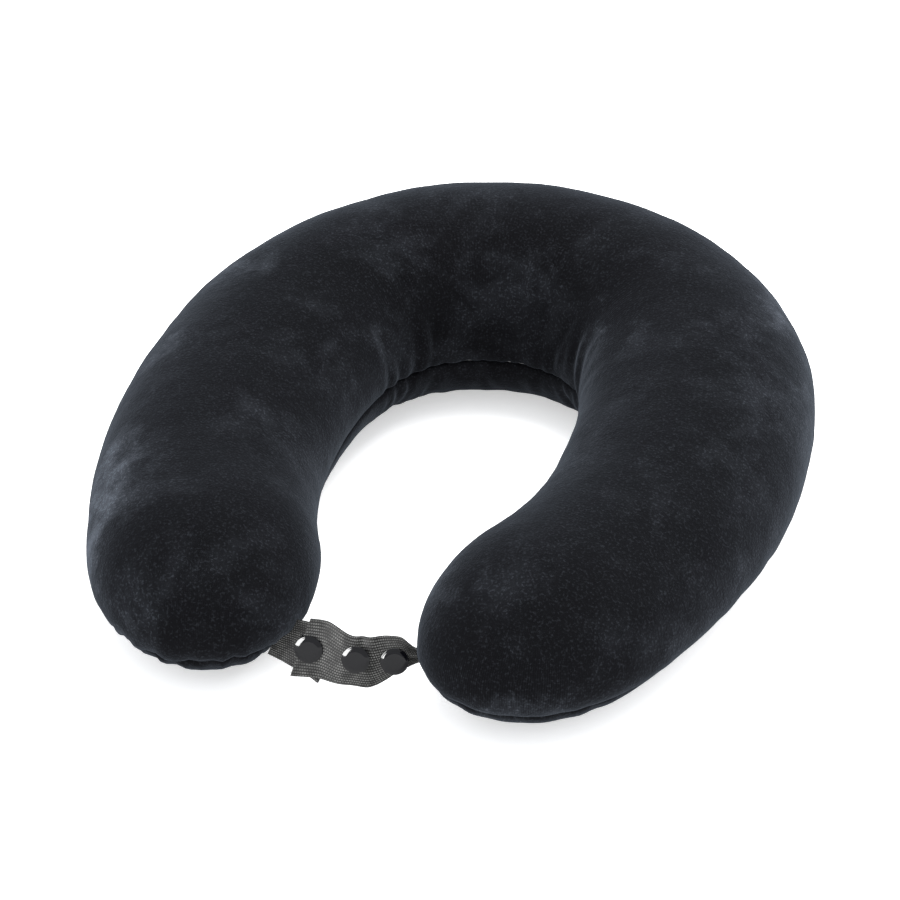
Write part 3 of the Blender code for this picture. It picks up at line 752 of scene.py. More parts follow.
def folds(rows, lengths, upward):
    """Gathers at the ends of the arms, long creases on the nape's inner wall, and odd ones elsewhere."""
    form = bpy.context.scene.pillow_form
    rng = random.Random(form.seed + (0 if upward else 50))
    point, _, _, turn, side = rows
    made = []

    def scatter(mask, spacing, width, length, depth):
        places = lengths[mask]
        if not len(places):
            return
        at = places.min() + rng.uniform(0, spacing)
        while at < places.max():
            made.append(Fold(at, rng.uniform(*width) * MM, rng.uniform(*length) * MM,
                             form.fold_depth * rng.uniform(*depth), rng.uniform(-0.35, 0.35)))
            at += spacing * rng.uniform(0.55, 1.5)

    round_tip = (turn > 0.12 * np.pi) & (turn < 0.80 * np.pi)
    scatter(round_tip & (side < 0), 10 * MM, (2.2, 4.2), (7, 15), (0.25, 1.0))
    scatter(round_tip & (side > 0), 17 * MM, (3.0, 6.0), (7, 15), (0.10, 0.45))
    inner_nape = (turn == np.pi) & (point[:, 1] > 10 * MM)
    scatter(inner_nape, 8 * MM, (1.6, 3.4), (26, 58), (0.15, 0.65))
    for sign in (1, -1):
        scatter((turn == 0) & (side == sign), 34 * MM, (3, 6), (6, 14), (0.1, 0.35))
    return made


BRUSHED_AND_SHEEN_PLACES = (
    # where the nap has been stroked up, and painted sheen where the cover's edges are lighter: place on the
    # cover and reach along x, y and z in mm, strength
    ((-128, -128, 34), (18, 44, 30), 1.8), ((-96, -172, 24), (34, 12, 18), 0.6),
    ((-150, -16, 60), (16, 46, 26), 1.0), ((-130, 62, 72), (18, 30, 24), 0.7),
    ((-20, 180, 60), (60, 16, 30), 0.35), ((124, 96, 66), (26, 40, 26), 0.55),
    ((148, 20, 50), (14, 40, 26), 0.25), ((40, -142, 34), (12, 20, 26), 0.8),
    ((62, -182, 26), (40, 8, 14), 0.55), ((120, -120, 30), (18, 40, 16), 0.1),
    ((58, 58, 66), (16, 22, 24), 0.55), ((-52, 30, 66), (10, 40, 20), 0.35),
    ((0, 92, 74), (46, 14, 16), 0.08),
)


def brushing_and_sheen(points):
    """How far the nap is stroked up, with painted sheen along the edges, at each point, 0 to 1."""
    total = np.full(points.shape[:-1], 0.05)
    for place, reach, strength in BRUSHED_AND_SHEEN_PLACES:
        beside = (points / MM - np.array(place)) / np.array(reach)
        total += strength * np.exp(-np.sum(beside ** 2, axis=-1))
    ragged = 1 + 0.55 * noise_at(points, 11 * MM, 3) + 0.3 * noise_at(points, 4.5 * MM, 5)
    return np.clip(total * ragged, 0, 1)


def cover_panel(name, node, rows, seam, movement, upward, columns):
    form = bpy.context.scene.pillow_form
    opening = zip_opening(rows)
    start = np.maximum(opening, SEAM_GAP)
    shares = spread(columns)
    points, away = form_grid(rows, 0.0, seam, start, shares, upward)
    normals = normals_of(points, True) * (1 if upward else -1)
    normals[:, -1] = (0, 0, 1 if upward else -1)
    edge = away - start[:, None]
    zipped = (opening / SLOT_HALF_HEIGHT)[:, None]
    lengths = ring_lengths(rows)
    push = -form.seam_depth * np.exp(-edge / ROLL_REACH)
    push -= (UPPER_TUCK if upward else LOWER_TUCK) * np.exp(-(edge / TUCK_REACH) ** 2) * (1 - zipped)
    fade = np.clip((away[:, -1:] - away) / FOLD_FADE, 0, 1)
    for fold in folds(rows, lengths, upward):
        push += fold.push(lengths[:, None], away) * (1 - 0.8 * zipped) * fade
    calm = 1 - 0.85 * zipped * np.exp(-(edge / ZIP_CALM_REACH) ** 2)
    push += LUMP_HEIGHT * noise_at(points, LUMP_SIZE, form.seed) * calm
    push += RIPPLE_HEIGHT * noise_at(points, RIPPLE_SIZE, form.seed + 1) * calm
    for root in strap_roots():
        near = np.linalg.norm(points - np.array(root), axis=-1)
        push -= ROOT_PINCH * np.exp(-(near / PINCH_REACH) ** 2)
    if not upward:
        push *= np.clip(points[..., 2] / BASE_FADE, 0, 1)
    if movement:
        flat = points.reshape(-1, 3)
        shift = np.array([movement(Vector(place)) for place in flat.tolist()]).reshape(points.shape)
        ease_in = 1 - np.exp(-(away / SWELL_REACH) ** 2)
        shift *= (ease_in * calm)[..., None]
        moved = points + shift
    else:
        moved = points.copy()
    moved += normals * push[..., None]
    moved[..., 2] = np.maximum(moved[..., 2], 0.0)
    uvs = np.stack([np.broadcast_to(lengths[:, None], away.shape), away], axis=-1)
    # Its attribute holds the stroked-up nap and the painted sheen along the edges.
    data = grid_mesh(name, moved, uvs, closed_rows=True, flip=not upward,
                     attributes={"brushed_and_sheen": brushing_and_sheen(points)})
    made = object_of(name, data, material("plush_velour", plush_material))
    thickened(made, form.thickness)
    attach(made, "pillow")
    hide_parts(node)
    return made


class PILLOW_OT_cover(Operator):
    """Sew the plush cover from its top panel and its base panel"""
    bl_idname = "pillow.cover"
    bl_label = "Plush cover"

    def execute(self, context):
        rows = outline(context.scene.pillow_form.row_step)
        seam = seam_lengths(rows, 0.0)
        movement = settle(outline(COARSE_STEP))
        cover_panel("plush_top", "cover_top_panel", rows, seam, movement, True, 46)
        cover_panel("plush_base", "cover_base_panel", rows, seam, movement, False, 27)
        return {"FINISHED"}


# ---- Filling ---------------------------------------------------------------------------------------

def filling_layer(name, inset, surface):
    rows = outline(COARSE_STEP)
    whole, _ = whole_grid(rows, inset, 22)
    lengths = ring_lengths(rows)
    steps = np.linalg.norm(np.diff(whole, axis=1), axis=-1)
    climb = np.concatenate([np.zeros((len(rows[0]), 1)), np.cumsum(steps, axis=1)], axis=1)
    uvs = np.stack([np.broadcast_to(lengths[:, None], climb.shape), climb], axis=-1)
    push = 0.25 * MM * noise_at(whole, 16 * MM, 4) * np.clip(whole[..., 2] / (9 * MM) - 0.6, 0, 1)
    normals = normals_of(whole, True)
    normals[:, 0], normals[:, -1] = (0, 0, -1), (0, 0, 1)
    whole = whole + normals * push[..., None]
    return object_of(name, grid_mesh(name, whole, uvs, closed_rows=True), surface)


class PILLOW_OT_filling(Operator):
    """Make the moulded foam core and the jersey liner round it"""
    bl_idname = "pillow.filling"
    bl_label = "Foam core and liner"

    def execute(self, context):
        core = filling_layer("memory_foam_core", FOAM_DEPTH, material("memory_foam", foam_material))
        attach(core, "pillow")
        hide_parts("foam_core")
        looks = context.scene.pillow_looks
        pale = tuple(looks.jersey)
        shade = tuple(channel * 0.6 for channel in pale)
        knit = woven_material("jersey_knit", shade, pale, 0.9, 0.9 * MM, 1.1 * MM, 0.4, Roughness=0.9)
        liner = thickened(filling_layer("jersey_liner", LINER_DEPTH, knit), 0.5 * MM)
        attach(liner, "pillow")
        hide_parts("inner_liner")
        return {"FINISHED"}


# ---- Straps ----------------------------------------------------------------------------------------

def strap_frame():
    turn = (Matrix.Rotation(STRAP_HEADING, 4, "Z") @ Matrix.Rotation(STRAP_FALL, 4, "Y")
            @ Matrix.Rotation(math.pi / 2 - STRAP_LEAN, 4, "X"))
    return Matrix.Translation(STUD_POINT) @ turn


def smoothed(values, knots, levels, reach):
    """A polyline's levels at the values, averaged over a short reach."""
    offsets = np.linspace(-reach, reach, 9)
    return np.mean([np.interp(values + offset, knots, levels) for offset in offsets], axis=0)


def ribbon(name, along, height, lower, upper, lean, surface):
    """Webbing as a closed band with its cords and picks standing up on both faces.

    along, lower, upper and lean are arrays along the strap, in the straps' frame. lean is how far
    each crosswise line's ends are shifted along. height is a function of the place along and of
    the place across, from -1 at the lower edge to 1 at the upper edge.
    """
    straps = bpy.context.scene.pillow_straps
    columns = round(WEBBING_WIDTH / straps.cord_pitch * 6)
    across = np.linspace(-1, 1, columns + 1)
    place = np.empty((len(along), len(across), 3))
    place[..., 0] = along[:, None] + lean[:, None] * across
    middle, half = (lower + upper) / 2, (upper - lower) / 2
    place[..., 1] = middle[:, None] + half[:, None] * across
    place[..., 2] = height(place[..., 0], across)
    cloth = across * WEBBING_WIDTH / 2
    cord = cloth / straps.cord_pitch
    pick = along[:, None] / straps.pick_pitch + 0.5 * np.floor(cord)
    crest = np.abs(np.sin(np.pi * cord)) ** 0.8 * (0.62 + 0.38 * np.cos(math.tau * (pick - 0.5)))
    rim = np.clip((1 - np.abs(across)) * WEBBING_WIDTH / 2 / (0.7 * MM), 0, 1)
    half_thickness = (straps.thickness / 2 - straps.cord_height) * (0.35 + 0.65 * np.sqrt(rim))
    normal = normals_of(place, False)
    lift = (half_thickness + straps.cord_height * crest * rim)[..., None]
    front, back = place - normal * lift, place + normal * lift
    uvs = np.stack(np.broadcast_arrays(along[:, None], cloth), axis=-1)
    if front[0, columns // 2, 2] < back[0, columns // 2, 2]:
        front, back = back, front
    loop = np.concatenate([front, back[:, ::-1]], axis=1)
    loop = np.concatenate([loop, loop[:, :1]], axis=1)
    twice = np.concatenate([uvs, uvs[:, ::-1], uvs[:, :1]], axis=1)
    data = grid_mesh(name, loop, twice)
    with edited(data) as mesh:
        bmesh.ops.holes_fill(mesh, edges=open_edges(mesh))
        ends = [face for face in mesh.faces if len(face.verts) > 4]
        bmesh.ops.triangulate(mesh, faces=ends)
        if mesh.calc_volume(signed=True) < 0:
            bmesh.ops.reverse_faces(mesh, faces=mesh.faces)
    data.shade_smooth()
    return object_of(name, data, surface)


def long_strap_edges(along):
    """Heights of the long strap's lower and upper edges."""
    edge = WEBBING_WIDTH / 2
    low = -edge - LONG_SAG
    low_share = ease(np.clip((along - LOWER_GATHER) / (GATHER_END - LOWER_GATHER), 0, 1))
    lower = low + (GATHERED_LOW - low) * low_share
    fold = FOLD_BACK * np.exp(-((along - FOLD_PLACE) / FOLD_REACH) ** 2)
    high = edge + 1.6 * LONG_SAG - UPPER_TAPER * np.maximum(along, 0) - fold
    high_share = ease(np.clip((along - UPPER_GATHER) / (GATHER_END - UPPER_GATHER), 0, 1))
    return lower, high + (GATHERED_HIGH - high) * high_share


def socket_height(along, across):
    """Height of the long strap's middle layer."""
    straps = bpy.context.scene.pillow_straps
    crest = SOCKET_LAYER + BOW
    knots = [-FREE_END, SNAP_FLAT, SNAP_PITCH - SNAP_FLAT, SNAP_PITCH + SNAP_FLAT - 1 * MM,
             THIRD_SNAP - SNAP_FLAT, THIRD_SNAP + SNAP_FLAT, SOCKET_ROOT, SOCKET_ROOT + 6 * MM]
    tilted = SNAP_FLAT * math.tan(THIRD_TILT)
    levels = [SOCKET_LAYER, SOCKET_LAYER, crest, crest, THIRD_LAYER + tilted, THIRD_LAYER - tilted,
              SOCKET_ROOT_HEIGHT, SOCKET_ROOT_HEIGHT - 2 * MM]
    level = smoothed(along, knots, levels, 2 * MM)
    middle = np.clip(along / (14 * MM), 0, 1) * np.clip((SOCKET_ROOT + 2 * MM - along) / (10 * MM), 0, 1)
    cup = straps.cup * np.maximum(0, np.abs(across) - 0.35) ** 1.6 * 1.9 * middle
    curl = 0.5 * MM * np.exp(-((along + FREE_END) / (3 * MM)) ** 2) * across ** 2
    pleat = np.clip((along - 38 * MM) / (6 * MM), 0, 1) * 0.75 * MM * np.sin(across * 2.2 * np.pi + 0.6)
    crease = np.exp(-((along - 25 * MM + across * 3.5 * MM) / (2.2 * MM)) ** 2)
    kink = 1.5 * MM * crease * np.clip(across + 0.1, 0, 1)
    return level - cup + curl + pleat - kink


class PILLOW_OT_straps(Operator):
    """Weave the two webbing straps"""
    bl_idname = "pillow.straps"
    bl_label = "Webbing straps"

    def execute(self, context):
        surface = material("twill_webbing", webbing_material)
        frame_matrix = strap_frame()
        step = context.scene.pillow_straps.pick_pitch / 4
        edge = WEBBING_WIDTH / 2
        along = np.arange(-FREE_END + LONG_END_LEAN, SOCKET_ROOT + 4 * MM, step)
        wave = 0.2 * MM * np.sin(along / (2.6 * MM)) * np.clip((along + 4 * MM) / (9 * MM), 0, 1)
        lower, upper = long_strap_edges(along)
        lower, upper = lower + wave, upper + wave * 0.8
        lean = LONG_END_LEAN * np.clip(1 - along / (20 * MM), 0, 1)
        socket = ribbon("long_strap", along, socket_height, lower, upper, lean, surface)
        socket.data.transform(frame_matrix)
        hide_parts("socket_strap")
        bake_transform(socket)
        along = np.arange(-SHORT_ROOT, SHORT_END, step)
        lower = np.full(len(along), SHORT_DROP - edge)
        upper = smoothed(along, [-SHORT_ROOT, -4 * MM, 2 * MM], [5 * MM, 8.5 * MM, 10 * MM], 2 * MM)

        def stud_height(along, across):
            back = 0.9 * MM * np.clip((-3 * MM - along) / (5 * MM), 0, 1)
            curl = SHORT_CURL * np.clip((along - 3 * MM) / (6 * MM), 0, 1) * np.clip(-across, 0, 1) ** 2
            return STUD_LAYER - back + curl

        stud = ribbon("short_strap", along, stud_height, lower, upper, 0 * along, surface)
        stud.data.transform(frame_matrix @ Matrix.Rotation(-SHORT_TILT, 4, "Z"))
        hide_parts("stud_strap")
        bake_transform(stud)
        return {"FINISHED"}


# ---- Snaps -----------------------------------------------------------------------------------------

def arc(centre, radius, start, end, steps=6):
    """Points of an arc in a profile, with its angles in degrees from the outward direction."""
    return [(centre[0] + radius * math.cos(math.radians(start + (end - start) * i / steps)),
             centre[1] + radius * math.sin(math.radians(start + (end - start) * i / steps)))
            for i in range(steps + 1)]


def turned(name, profile, matrix, surface, steps=64):
    """A round piece from a profile of (radius, height) that runs down its outer side."""
    data = bpy.data.meshes.new(name)
    with edited(data) as mesh:
        rings = []
        for radius, height in profile:
            if radius < 1e-6:
                rings.append([mesh.verts.new((0, 0, height))] * steps)
            else:
                rings.append([mesh.verts.new((radius * math.cos(math.tau * k / steps),
                                              radius * math.sin(math.tau * k / steps), height))
                              for k in range(steps)])
        for upper, lower in zip(rings, rings[1:]):
            for k in range(steps):
                corners = [upper[k], lower[k], lower[(k + 1) % steps], upper[(k + 1) % steps]]
                mesh.faces.new(list(dict.fromkeys(corners)))
        bmesh.ops.recalc_face_normals(mesh, faces=mesh.faces)
        mesh.transform(matrix)
    data.shade_smooth()
    data.set_sharp_from_angle(angle=38 * DEGREE)
    return object_of(name, data, surface)


def cap_profile():
    """A flat face, a shallow slope that catches the light, and a tight rounded rim."""
    under = SOCKET_LAYER + 0.95 * MM
    top = under + 1.0 * MM
    slope = [(CAP_RADIUS * (0.60 + 0.32 * t), top - 0.56 * MM * t ** 1.7) for t in np.linspace(0, 1, 8)]
    return ([(0, top), (CAP_RADIUS * 0.3, top)] + slope
            + arc((CAP_RADIUS - 0.25 * MM, under + 0.2 * MM), 0.22 * MM, 55, -60) + [
                (CAP_RADIUS - 0.5 * MM, under), (PRONG_RADIUS, under),
                (PRONG_RADIUS, SOCKET_LAYER - 0.6 * MM), (0, SOCKET_LAYER - 0.6 * MM)])


def socket_profile():
    top, bottom, roof = 2.9 * MM, 0.3 * MM, 2.3 * MM
    edge = 0.35 * MM
    return ([(0, top)] + arc((FLANGE_RADIUS - edge, top - edge), edge, 90, 0)
            + arc((FLANGE_RADIUS - edge, bottom + edge), edge, 0, -90)
            + arc((CAVITY_RADIUS + 0.25 * MM, bottom + 0.25 * MM), 0.25 * MM, -90, -180)
            + [(CAVITY_RADIUS, 1.3 * MM), (CAVITY_RADIUS - 0.2 * MM, 1.5 * MM), (CAVITY_RADIUS, 1.7 * MM),
               (CAVITY_RADIUS, roof), (0, roof)])


def stud_profile():
    waist = KNOB_RADIUS - 0.3 * MM
    edge = 0.25 * MM
    return ([(0, 1.7 * MM)] + arc((KNOB_RADIUS - 0.45 * MM, 1.25 * MM), 0.45 * MM, 90, -30)
            + [(waist, 0.65 * MM), (waist, 0.2 * MM), (waist + 0.25 * MM, 0)]
            + arc((FLANGE_RADIUS - edge, -edge), edge, 90, 0)
            + [(FLANGE_RADIUS, -0.7 * MM), (0, -0.7 * MM)])


def back_cap_profile():
    inner = STUD_LAYER - 0.95 * MM
    return ([(0, STUD_LAYER + 0.6 * MM), (PRONG_RADIUS, STUD_LAYER + 0.6 * MM), (PRONG_RADIUS, inner),
             (CAP_RADIUS - 0.1 * MM, inner)]
            + arc((CAP_RADIUS - 0.45 * MM, inner - 0.45 * MM), 0.45 * MM, 30, -50)
            + arc((CAP_RADIUS * 0.72, inner - 0.85 * MM), 0.35 * MM, -50, -90) + [(0, inner - 1.2 * MM)])


def snap_places():
    """Each snap's matrix on the long strap, with its heights counted from the flat meeting plane."""
    rest = [(0, SOCKET_LAYER, 0), (SNAP_PITCH, SOCKET_LAYER + BOW, 0),
            (THIRD_SNAP, THIRD_LAYER, THIRD_TILT)]
    return [strap_frame() @ Matrix.Translation((x, 0, z)) @ Matrix.Rotation(tilt, 4, "Y")
            @ Matrix.Translation((0, 0, -SOCKET_LAYER)) for x, z, tilt in rest]


class PILLOW_OT_snaps(Operator):
    """Turn the press snaps: caps and sockets on the long strap, stud and back cap on the short one"""
    bl_idname = "pillow.snaps"
    bl_label = "Press snaps"

    def execute(self, context):
        gloss = snap_material()
        for number, place in enumerate(snap_places(), 1):
            for kind, profile in (("cap", cap_profile()), ("socket", socket_profile())):
                made = turned(f"press_{kind}_{number}", profile, place, gloss)
                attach(made, "socket_strap")
                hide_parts(f"snap_{kind}_{number}")
        for kind, profile in (("stud", stud_profile()), ("back_cap", back_cap_profile())):
            made = turned(f"press_{kind}", profile, strap_frame(), gloss)
            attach(made, "stud_strap")
            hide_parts(f"snap_{kind}")
        return {"FINISHED"}


# ---- Repeats made with Geometry Nodes ---------------------------------------------------------------

def geometry_tree(name, inputs):
    tree = bpy.data.node_groups.new(name, "GeometryNodeTree")
    for label, kind, default in inputs:
        socket = tree.interface.new_socket(label, in_out="INPUT", socket_type=kind)
        if default is not None:
            socket.default_value = default
    tree.interface.new_socket("Geometry", in_out="OUTPUT", socket_type="NodeSocketGeometry")
    return tree, tree.nodes.new("NodeGroupInput").outputs, tree.nodes.new("NodeGroupOutput").inputs


def beads_tree():
    """Rounded beads at even steps along an arc about the z axis: coil turns and stitches."""
    tree, given, result = geometry_tree("beads_on_arc", [
        ("Radius", "NodeSocketFloat", 0.15), ("Height", "NodeSocketFloat", 0.02),
        ("Start", "NodeSocketFloat", 0.0), ("Sweep", "NodeSocketFloat", 1.0),
        ("Count", "NodeSocketInt", 60), ("Bead Size", "NodeSocketVector", (1, 1, 1)),
        ("Tilt", "NodeSocketVector", (0, 0, 0)),
        ("Seed", "NodeSocketInt", 1), ("Surface", "NodeSocketMaterial", None)])
    path = add(tree, "GeometryNodeCurveArc", {"Resolution": 256, "Radius": given["Radius"],
                                              "Start Angle": given["Start"], "Sweep Angle": given["Sweep"]})
    points = add(tree, "GeometryNodeCurveToPoints",
                 {"Curve": path.outputs["Curve"], "Count": given["Count"]})
    raised = add(tree, "ShaderNodeCombineXYZ", {"Z": given["Height"]})
    placed = add(tree, "GeometryNodeSetPosition", {"Geometry": points.outputs["Points"],
                                                   "Offset": raised.outputs["Vector"]})
    bead = add(tree, "GeometryNodeMeshUVSphere", {"Segments": 8, "Rings": 6, "Radius": 1.0})
    sized = add(tree, "GeometryNodeTransform", {
        "Geometry": bead.outputs["Mesh"], "Scale": given["Bead Size"], "Rotation": given["Tilt"]})
    place = add(tree, "GeometryNodeInputPosition")
    split = add(tree, "ShaderNodeSeparateXYZ", {"Vector": place.outputs["Position"]})
    bearing = maths(tree, "ARCTAN2", split.outputs["Y"], split.outputs["X"])
    heading = add(tree, "ShaderNodeCombineXYZ", {"Z": bearing})
    vary = add(tree, "FunctionNodeRandomValue", {2: 0.9, 3: 1.1, "Seed": given["Seed"]}, data_type="FLOAT")
    beads = add(tree, "GeometryNodeInstanceOnPoints", {
        "Points": placed.outputs["Geometry"], "Instance": sized.outputs["Geometry"],
        "Rotation": heading.outputs["Vector"], "Scale": vary.outputs[1]})
    real = add(tree, "GeometryNodeRealizeInstances", {"Geometry": beads.outputs["Instances"]})
    coloured = add(tree, "GeometryNodeSetMaterial", {"Geometry": real.outputs["Geometry"],
                                                     "Material": given["Surface"]})
    tree.links.new(coloured.outputs["Geometry"], result["Geometry"])
    return tree


def threads_tree():
    """Short bent threads that stick out of a cut edge, which runs from the origin along y."""
    tree, given, result = geometry_tree("frayed_edge", [
        ("Width", "NodeSocketFloat", 0.02), ("Count", "NodeSocketInt", 30),
        ("Length", "NodeSocketFloat", 0.002), ("Thickness", "NodeSocketFloat", 0.0001),
        ("Spread", "NodeSocketFloat", 0.6),
        ("Seed", "NodeSocketInt", 1), ("Surface", "NodeSocketMaterial", None)])
    end = add(tree, "ShaderNodeCombineXYZ", {"Y": given["Width"]})
    edge = add(tree, "GeometryNodeMeshLine", {"Count": given["Count"], "Offset": end.outputs["Vector"]},
               mode="END_POINTS")
    reach = add(tree, "ShaderNodeCombineXYZ", {"X": maths(tree, "MULTIPLY", given["Length"], -1.0)})
    bend = add(tree, "ShaderNodeCombineXYZ", {"X": maths(tree, "MULTIPLY", given["Length"], -0.55),
                                              "Z": maths(tree, "MULTIPLY", given["Length"], 0.22)})
    strand = add(tree, "GeometryNodeCurveQuadraticBezier", {
        "Resolution": 5, "Start": (0, 0, 0), "Middle": bend.outputs["Vector"],
        "End": reach.outputs["Vector"]})
    ring = add(tree, "GeometryNodeCurvePrimitiveCircle", {"Resolution": 5, "Radius": given["Thickness"]})
    tube = add(tree, "GeometryNodeCurveToMesh", {"Curve": strand.outputs["Curve"],
                                                 "Profile Curve": ring.outputs["Curve"], "Fill Caps": True})
    tilt = add(tree, "ShaderNodeCombineXYZ", {"X": 3.14, "Y": given["Spread"], "Z": given["Spread"]})
    back = add(tree, "ShaderNodeVectorMath", {0: tilt.outputs["Vector"], 1: (-1, -1, -1)},
               operation="MULTIPLY")
    turn = add(tree, "FunctionNodeRandomValue", {0: back.outputs["Vector"], 1: tilt.outputs["Vector"],
                                                 "Seed": given["Seed"]}, data_type="FLOAT_VECTOR")
    vary = add(tree, "FunctionNodeRandomValue",
               {2: 0.25, 3: 1.0, "Seed": maths(tree, "ADD", given["Seed"], 9)}, data_type="FLOAT")
    strands = add(tree, "GeometryNodeInstanceOnPoints", {
        "Points": edge.outputs["Mesh"], "Instance": tube.outputs["Mesh"], "Rotation": turn.outputs[0],
        "Scale": vary.outputs[1]})
    real = add(tree, "GeometryNodeRealizeInstances", {"Geometry": strands.outputs["Instances"]})
    coloured = add(tree, "GeometryNodeSetMaterial", {"Geometry": real.outputs["Geometry"],
                                                     "Material": given["Surface"]})
    tree.links.new(coloured.outputs["Geometry"], result["Geometry"])
    return tree


def grown(name, tree, values, matrix, surface):
    """Evaluate a tree with the given inputs and keep the result as a plain mesh in its place."""
    seed_mesh = bpy.data.meshes.new(name)
    made = object_of(name, seed_mesh, surface)
    growth = made.modifiers.new("growth", "NODES")
    growth.node_group = tree
    names = {item.name: item.identifier for item in tree.interface.items_tree if item.in_out == "INPUT"}
    for label, value in {**values, "Surface": surface}.items():
        growth[names[label]] = value
    applied(made)
    made.data.transform(matrix)
    made.data.shade_smooth()
    return made


class PILLOW_OT_threads(Operator):
    """Fray the cut ends of both straps"""
    bl_idname = "pillow.threads"
    bl_label = "Loose threads"

    def execute(self, context):
        form, straps = context.scene.pillow_form, context.scene.pillow_straps
        tree = found_or_made("frayed_edge", threads_tree)
        surface = thread_material("loose_thread", (0.05, 0.05, 0.047))
        half = WEBBING_WIDTH / 2
        frame_matrix = strap_frame()
        long_end = (frame_matrix
                    @ Matrix.Translation((-FREE_END + 0.3 * MM, -half + 0.4 * MM, SOCKET_LAYER))
                    @ Matrix.Rotation(-math.atan2(2 * LONG_END_LEAN, WEBBING_WIDTH), 4, "Z"))
        short_end = (frame_matrix @ Matrix.Rotation(-SHORT_TILT, 4, "Z")
                     @ Matrix.Translation((SHORT_END - 0.3 * MM, SHORT_DROP + half, STUD_LAYER - 0.5 * MM))
                     @ Matrix.Rotation(math.pi, 4, "Z"))
        rows = (("long_strap_threads", "socket_strap", long_end, WEBBING_WIDTH, straps.thread_count),
                ("short_strap_threads", "stud_strap", short_end, WEBBING_WIDTH - 4 * MM,
                 straps.thread_count // 2))
        for name, body, matrix, width, count in rows:
            values = {"Width": width, "Count": count, "Length": THREAD_LENGTH,
                      "Thickness": THREAD_RADIUS, "Spread": 0.55, "Seed": form.seed}
            made = grown(name, tree, values, matrix, surface)
            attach(made, body)
        return {"FINISHED"}


# ---- Zip and label ---------------------------------------------------------------------------------

def wall_frame():
    """The zip's cross-section frame: middle, direction up the wall and direction outwards."""
    flat = NAPE_HALF_WIDTH - CORNER_WIDTH
    low, high = [np.array([flat + CORNER_WIDTH * math.sin(angle), NAPE_BELLY * (1 - math.cos(angle))])
                 for angle in (OUTER_SEAM_ANGLE - SEAM_BAND, OUTER_SEAM_ANGLE + SEAM_BAND)]
    upward = (high - low) / np.linalg.norm(high - low)
    return (low + high) / 2, upward, np.array([upward[1], -upward[0]])


def swept(name, outline_points, start, end, steps, surface):
    """A closed band swept round the nape's centre from a closed profile of (across, height)."""
    bearing = np.linspace(start, end, steps + 1)
    profile = np.array(list(outline_points) + [outline_points[0]])
    place = np.empty((steps + 1, len(profile), 3))
    place[..., 0] = np.sin(bearing)[:, None] * (NAPE_RADIUS + profile[:, 0]) + NAPE_CENTRE[0]
    place[..., 1] = np.cos(bearing)[:, None] * (NAPE_RADIUS + profile[:, 0]) + NAPE_CENTRE[1]
    place[..., 2] = profile[:, 1]
    run = np.concatenate([[0], np.cumsum(np.hypot(*np.diff(profile, axis=0).T))])
    uvs = np.stack(np.broadcast_arrays(bearing[:, None] * (NAPE_RADIUS + NAPE_HALF_WIDTH), run), axis=-1)
    data = grid_mesh(name, place, uvs)
    with edited(data) as mesh:
        bmesh.ops.holes_fill(mesh, edges=open_edges(mesh))
        bmesh.ops.recalc_face_normals(mesh, faces=mesh.faces)
    data.set_sharp_from_angle(angle=40 * DEGREE)
    return object_of(name, data, surface)


def on_wall(up, out):
    middle, upward, outward = wall_frame()
    return middle + upward * up + outward * out


class PILLOW_OT_zip(Operator):
    """Make the zip's tapes, coil turns and stitching, and finish its slider, stops and pull"""
    bl_idname = "pillow.zip"
    bl_label = "Zip"

    def execute(self, context):
        seed = context.scene.pillow_form.seed
        tape_cloth = woven_material("zip_tape_weave", (0.012, 0.012, 0.014), (0.05, 0.05, 0.055), 0.8,
                                    0.6 * MM, 0.5 * MM, 0.5, Roughness=0.8)
        nylon = material("nylon_gloss", lambda: scuffed_material(
            "nylon_gloss", (0.012, 0.012, 0.014), 0.3, 0.5, 1500.0, 0.1))
        thread = thread_material("seam_thread", (0.02, 0.022, 0.028))
        tree = found_or_made("beads_on_arc", beads_tree)
        centre = Matrix.Translation((*NAPE_CENTRE, 0))
        _, _, outward = wall_frame()
        lean = math.atan2(outward[1], outward[0])
        teeth_end = SLOT_HALF_ANGLE - 0.92 * DEGREE
        for side, name in ((1, "upper"), (-1, "lower")):
            near, far = side * TAPE_INNER_EDGE, side * TAPE_OUTER_EDGE
            inner = -TAPE_DEPTH - TAPE_THICKNESS
            profile = [on_wall(near, -TAPE_DEPTH), on_wall(far, -TAPE_DEPTH),
                       on_wall(far, inner), on_wall(near, inner)]
            tape = swept(f"tape_{name}", profile, -ZIP_HALF_ANGLE, ZIP_HALF_ANGLE, 120, tape_cloth)
            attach(tape, "pillow")
            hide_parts(f"zip_tape_{name}")
            across, height = on_wall(side * (COIL_OFFSET - 0.25 * MM), -COIL_DEPTH)
            shift = 0.5 * side * 0.22 * DEGREE
            coil = grown(f"coil_turns_{name}", tree, {
                "Radius": NAPE_RADIUS + across, "Height": height,
                "Start": math.pi / 2 - teeth_end + shift, "Sweep": 2 * teeth_end - abs(shift),
                "Count": COIL_TURNS, "Bead Size": COIL_BEAD, "Tilt": (0, -lean, 0),
                "Seed": seed}, centre, nylon)
            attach(coil, "pillow")
            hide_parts(f"zip_coil_{name}")
            across, height = on_wall(side * (SLOT_HALF_HEIGHT + 2.1 * MM), -0.25 * MM)
            stitches = grown(f"zip_stitches_{name}", tree, {
                "Radius": NAPE_RADIUS + across, "Height": height, "Start": math.pi / 2 - ZIP_HALF_ANGLE,
                "Sweep": 2 * ZIP_HALF_ANGLE, "Count": STITCHES, "Bead Size": STITCH_BEAD,
                "Tilt": (0, 0, 0), "Seed": seed + 3}, centre, thread)
            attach(stitches, "pillow")
        metal = metal_material()
        for node in ("zip_slider", "zip_pull", "zip_top_stop", "zip_bottom_stop"):
            for slot in frame["nodes"][node].material_slots:
                slot.material = metal
        return {"FINISHED"}


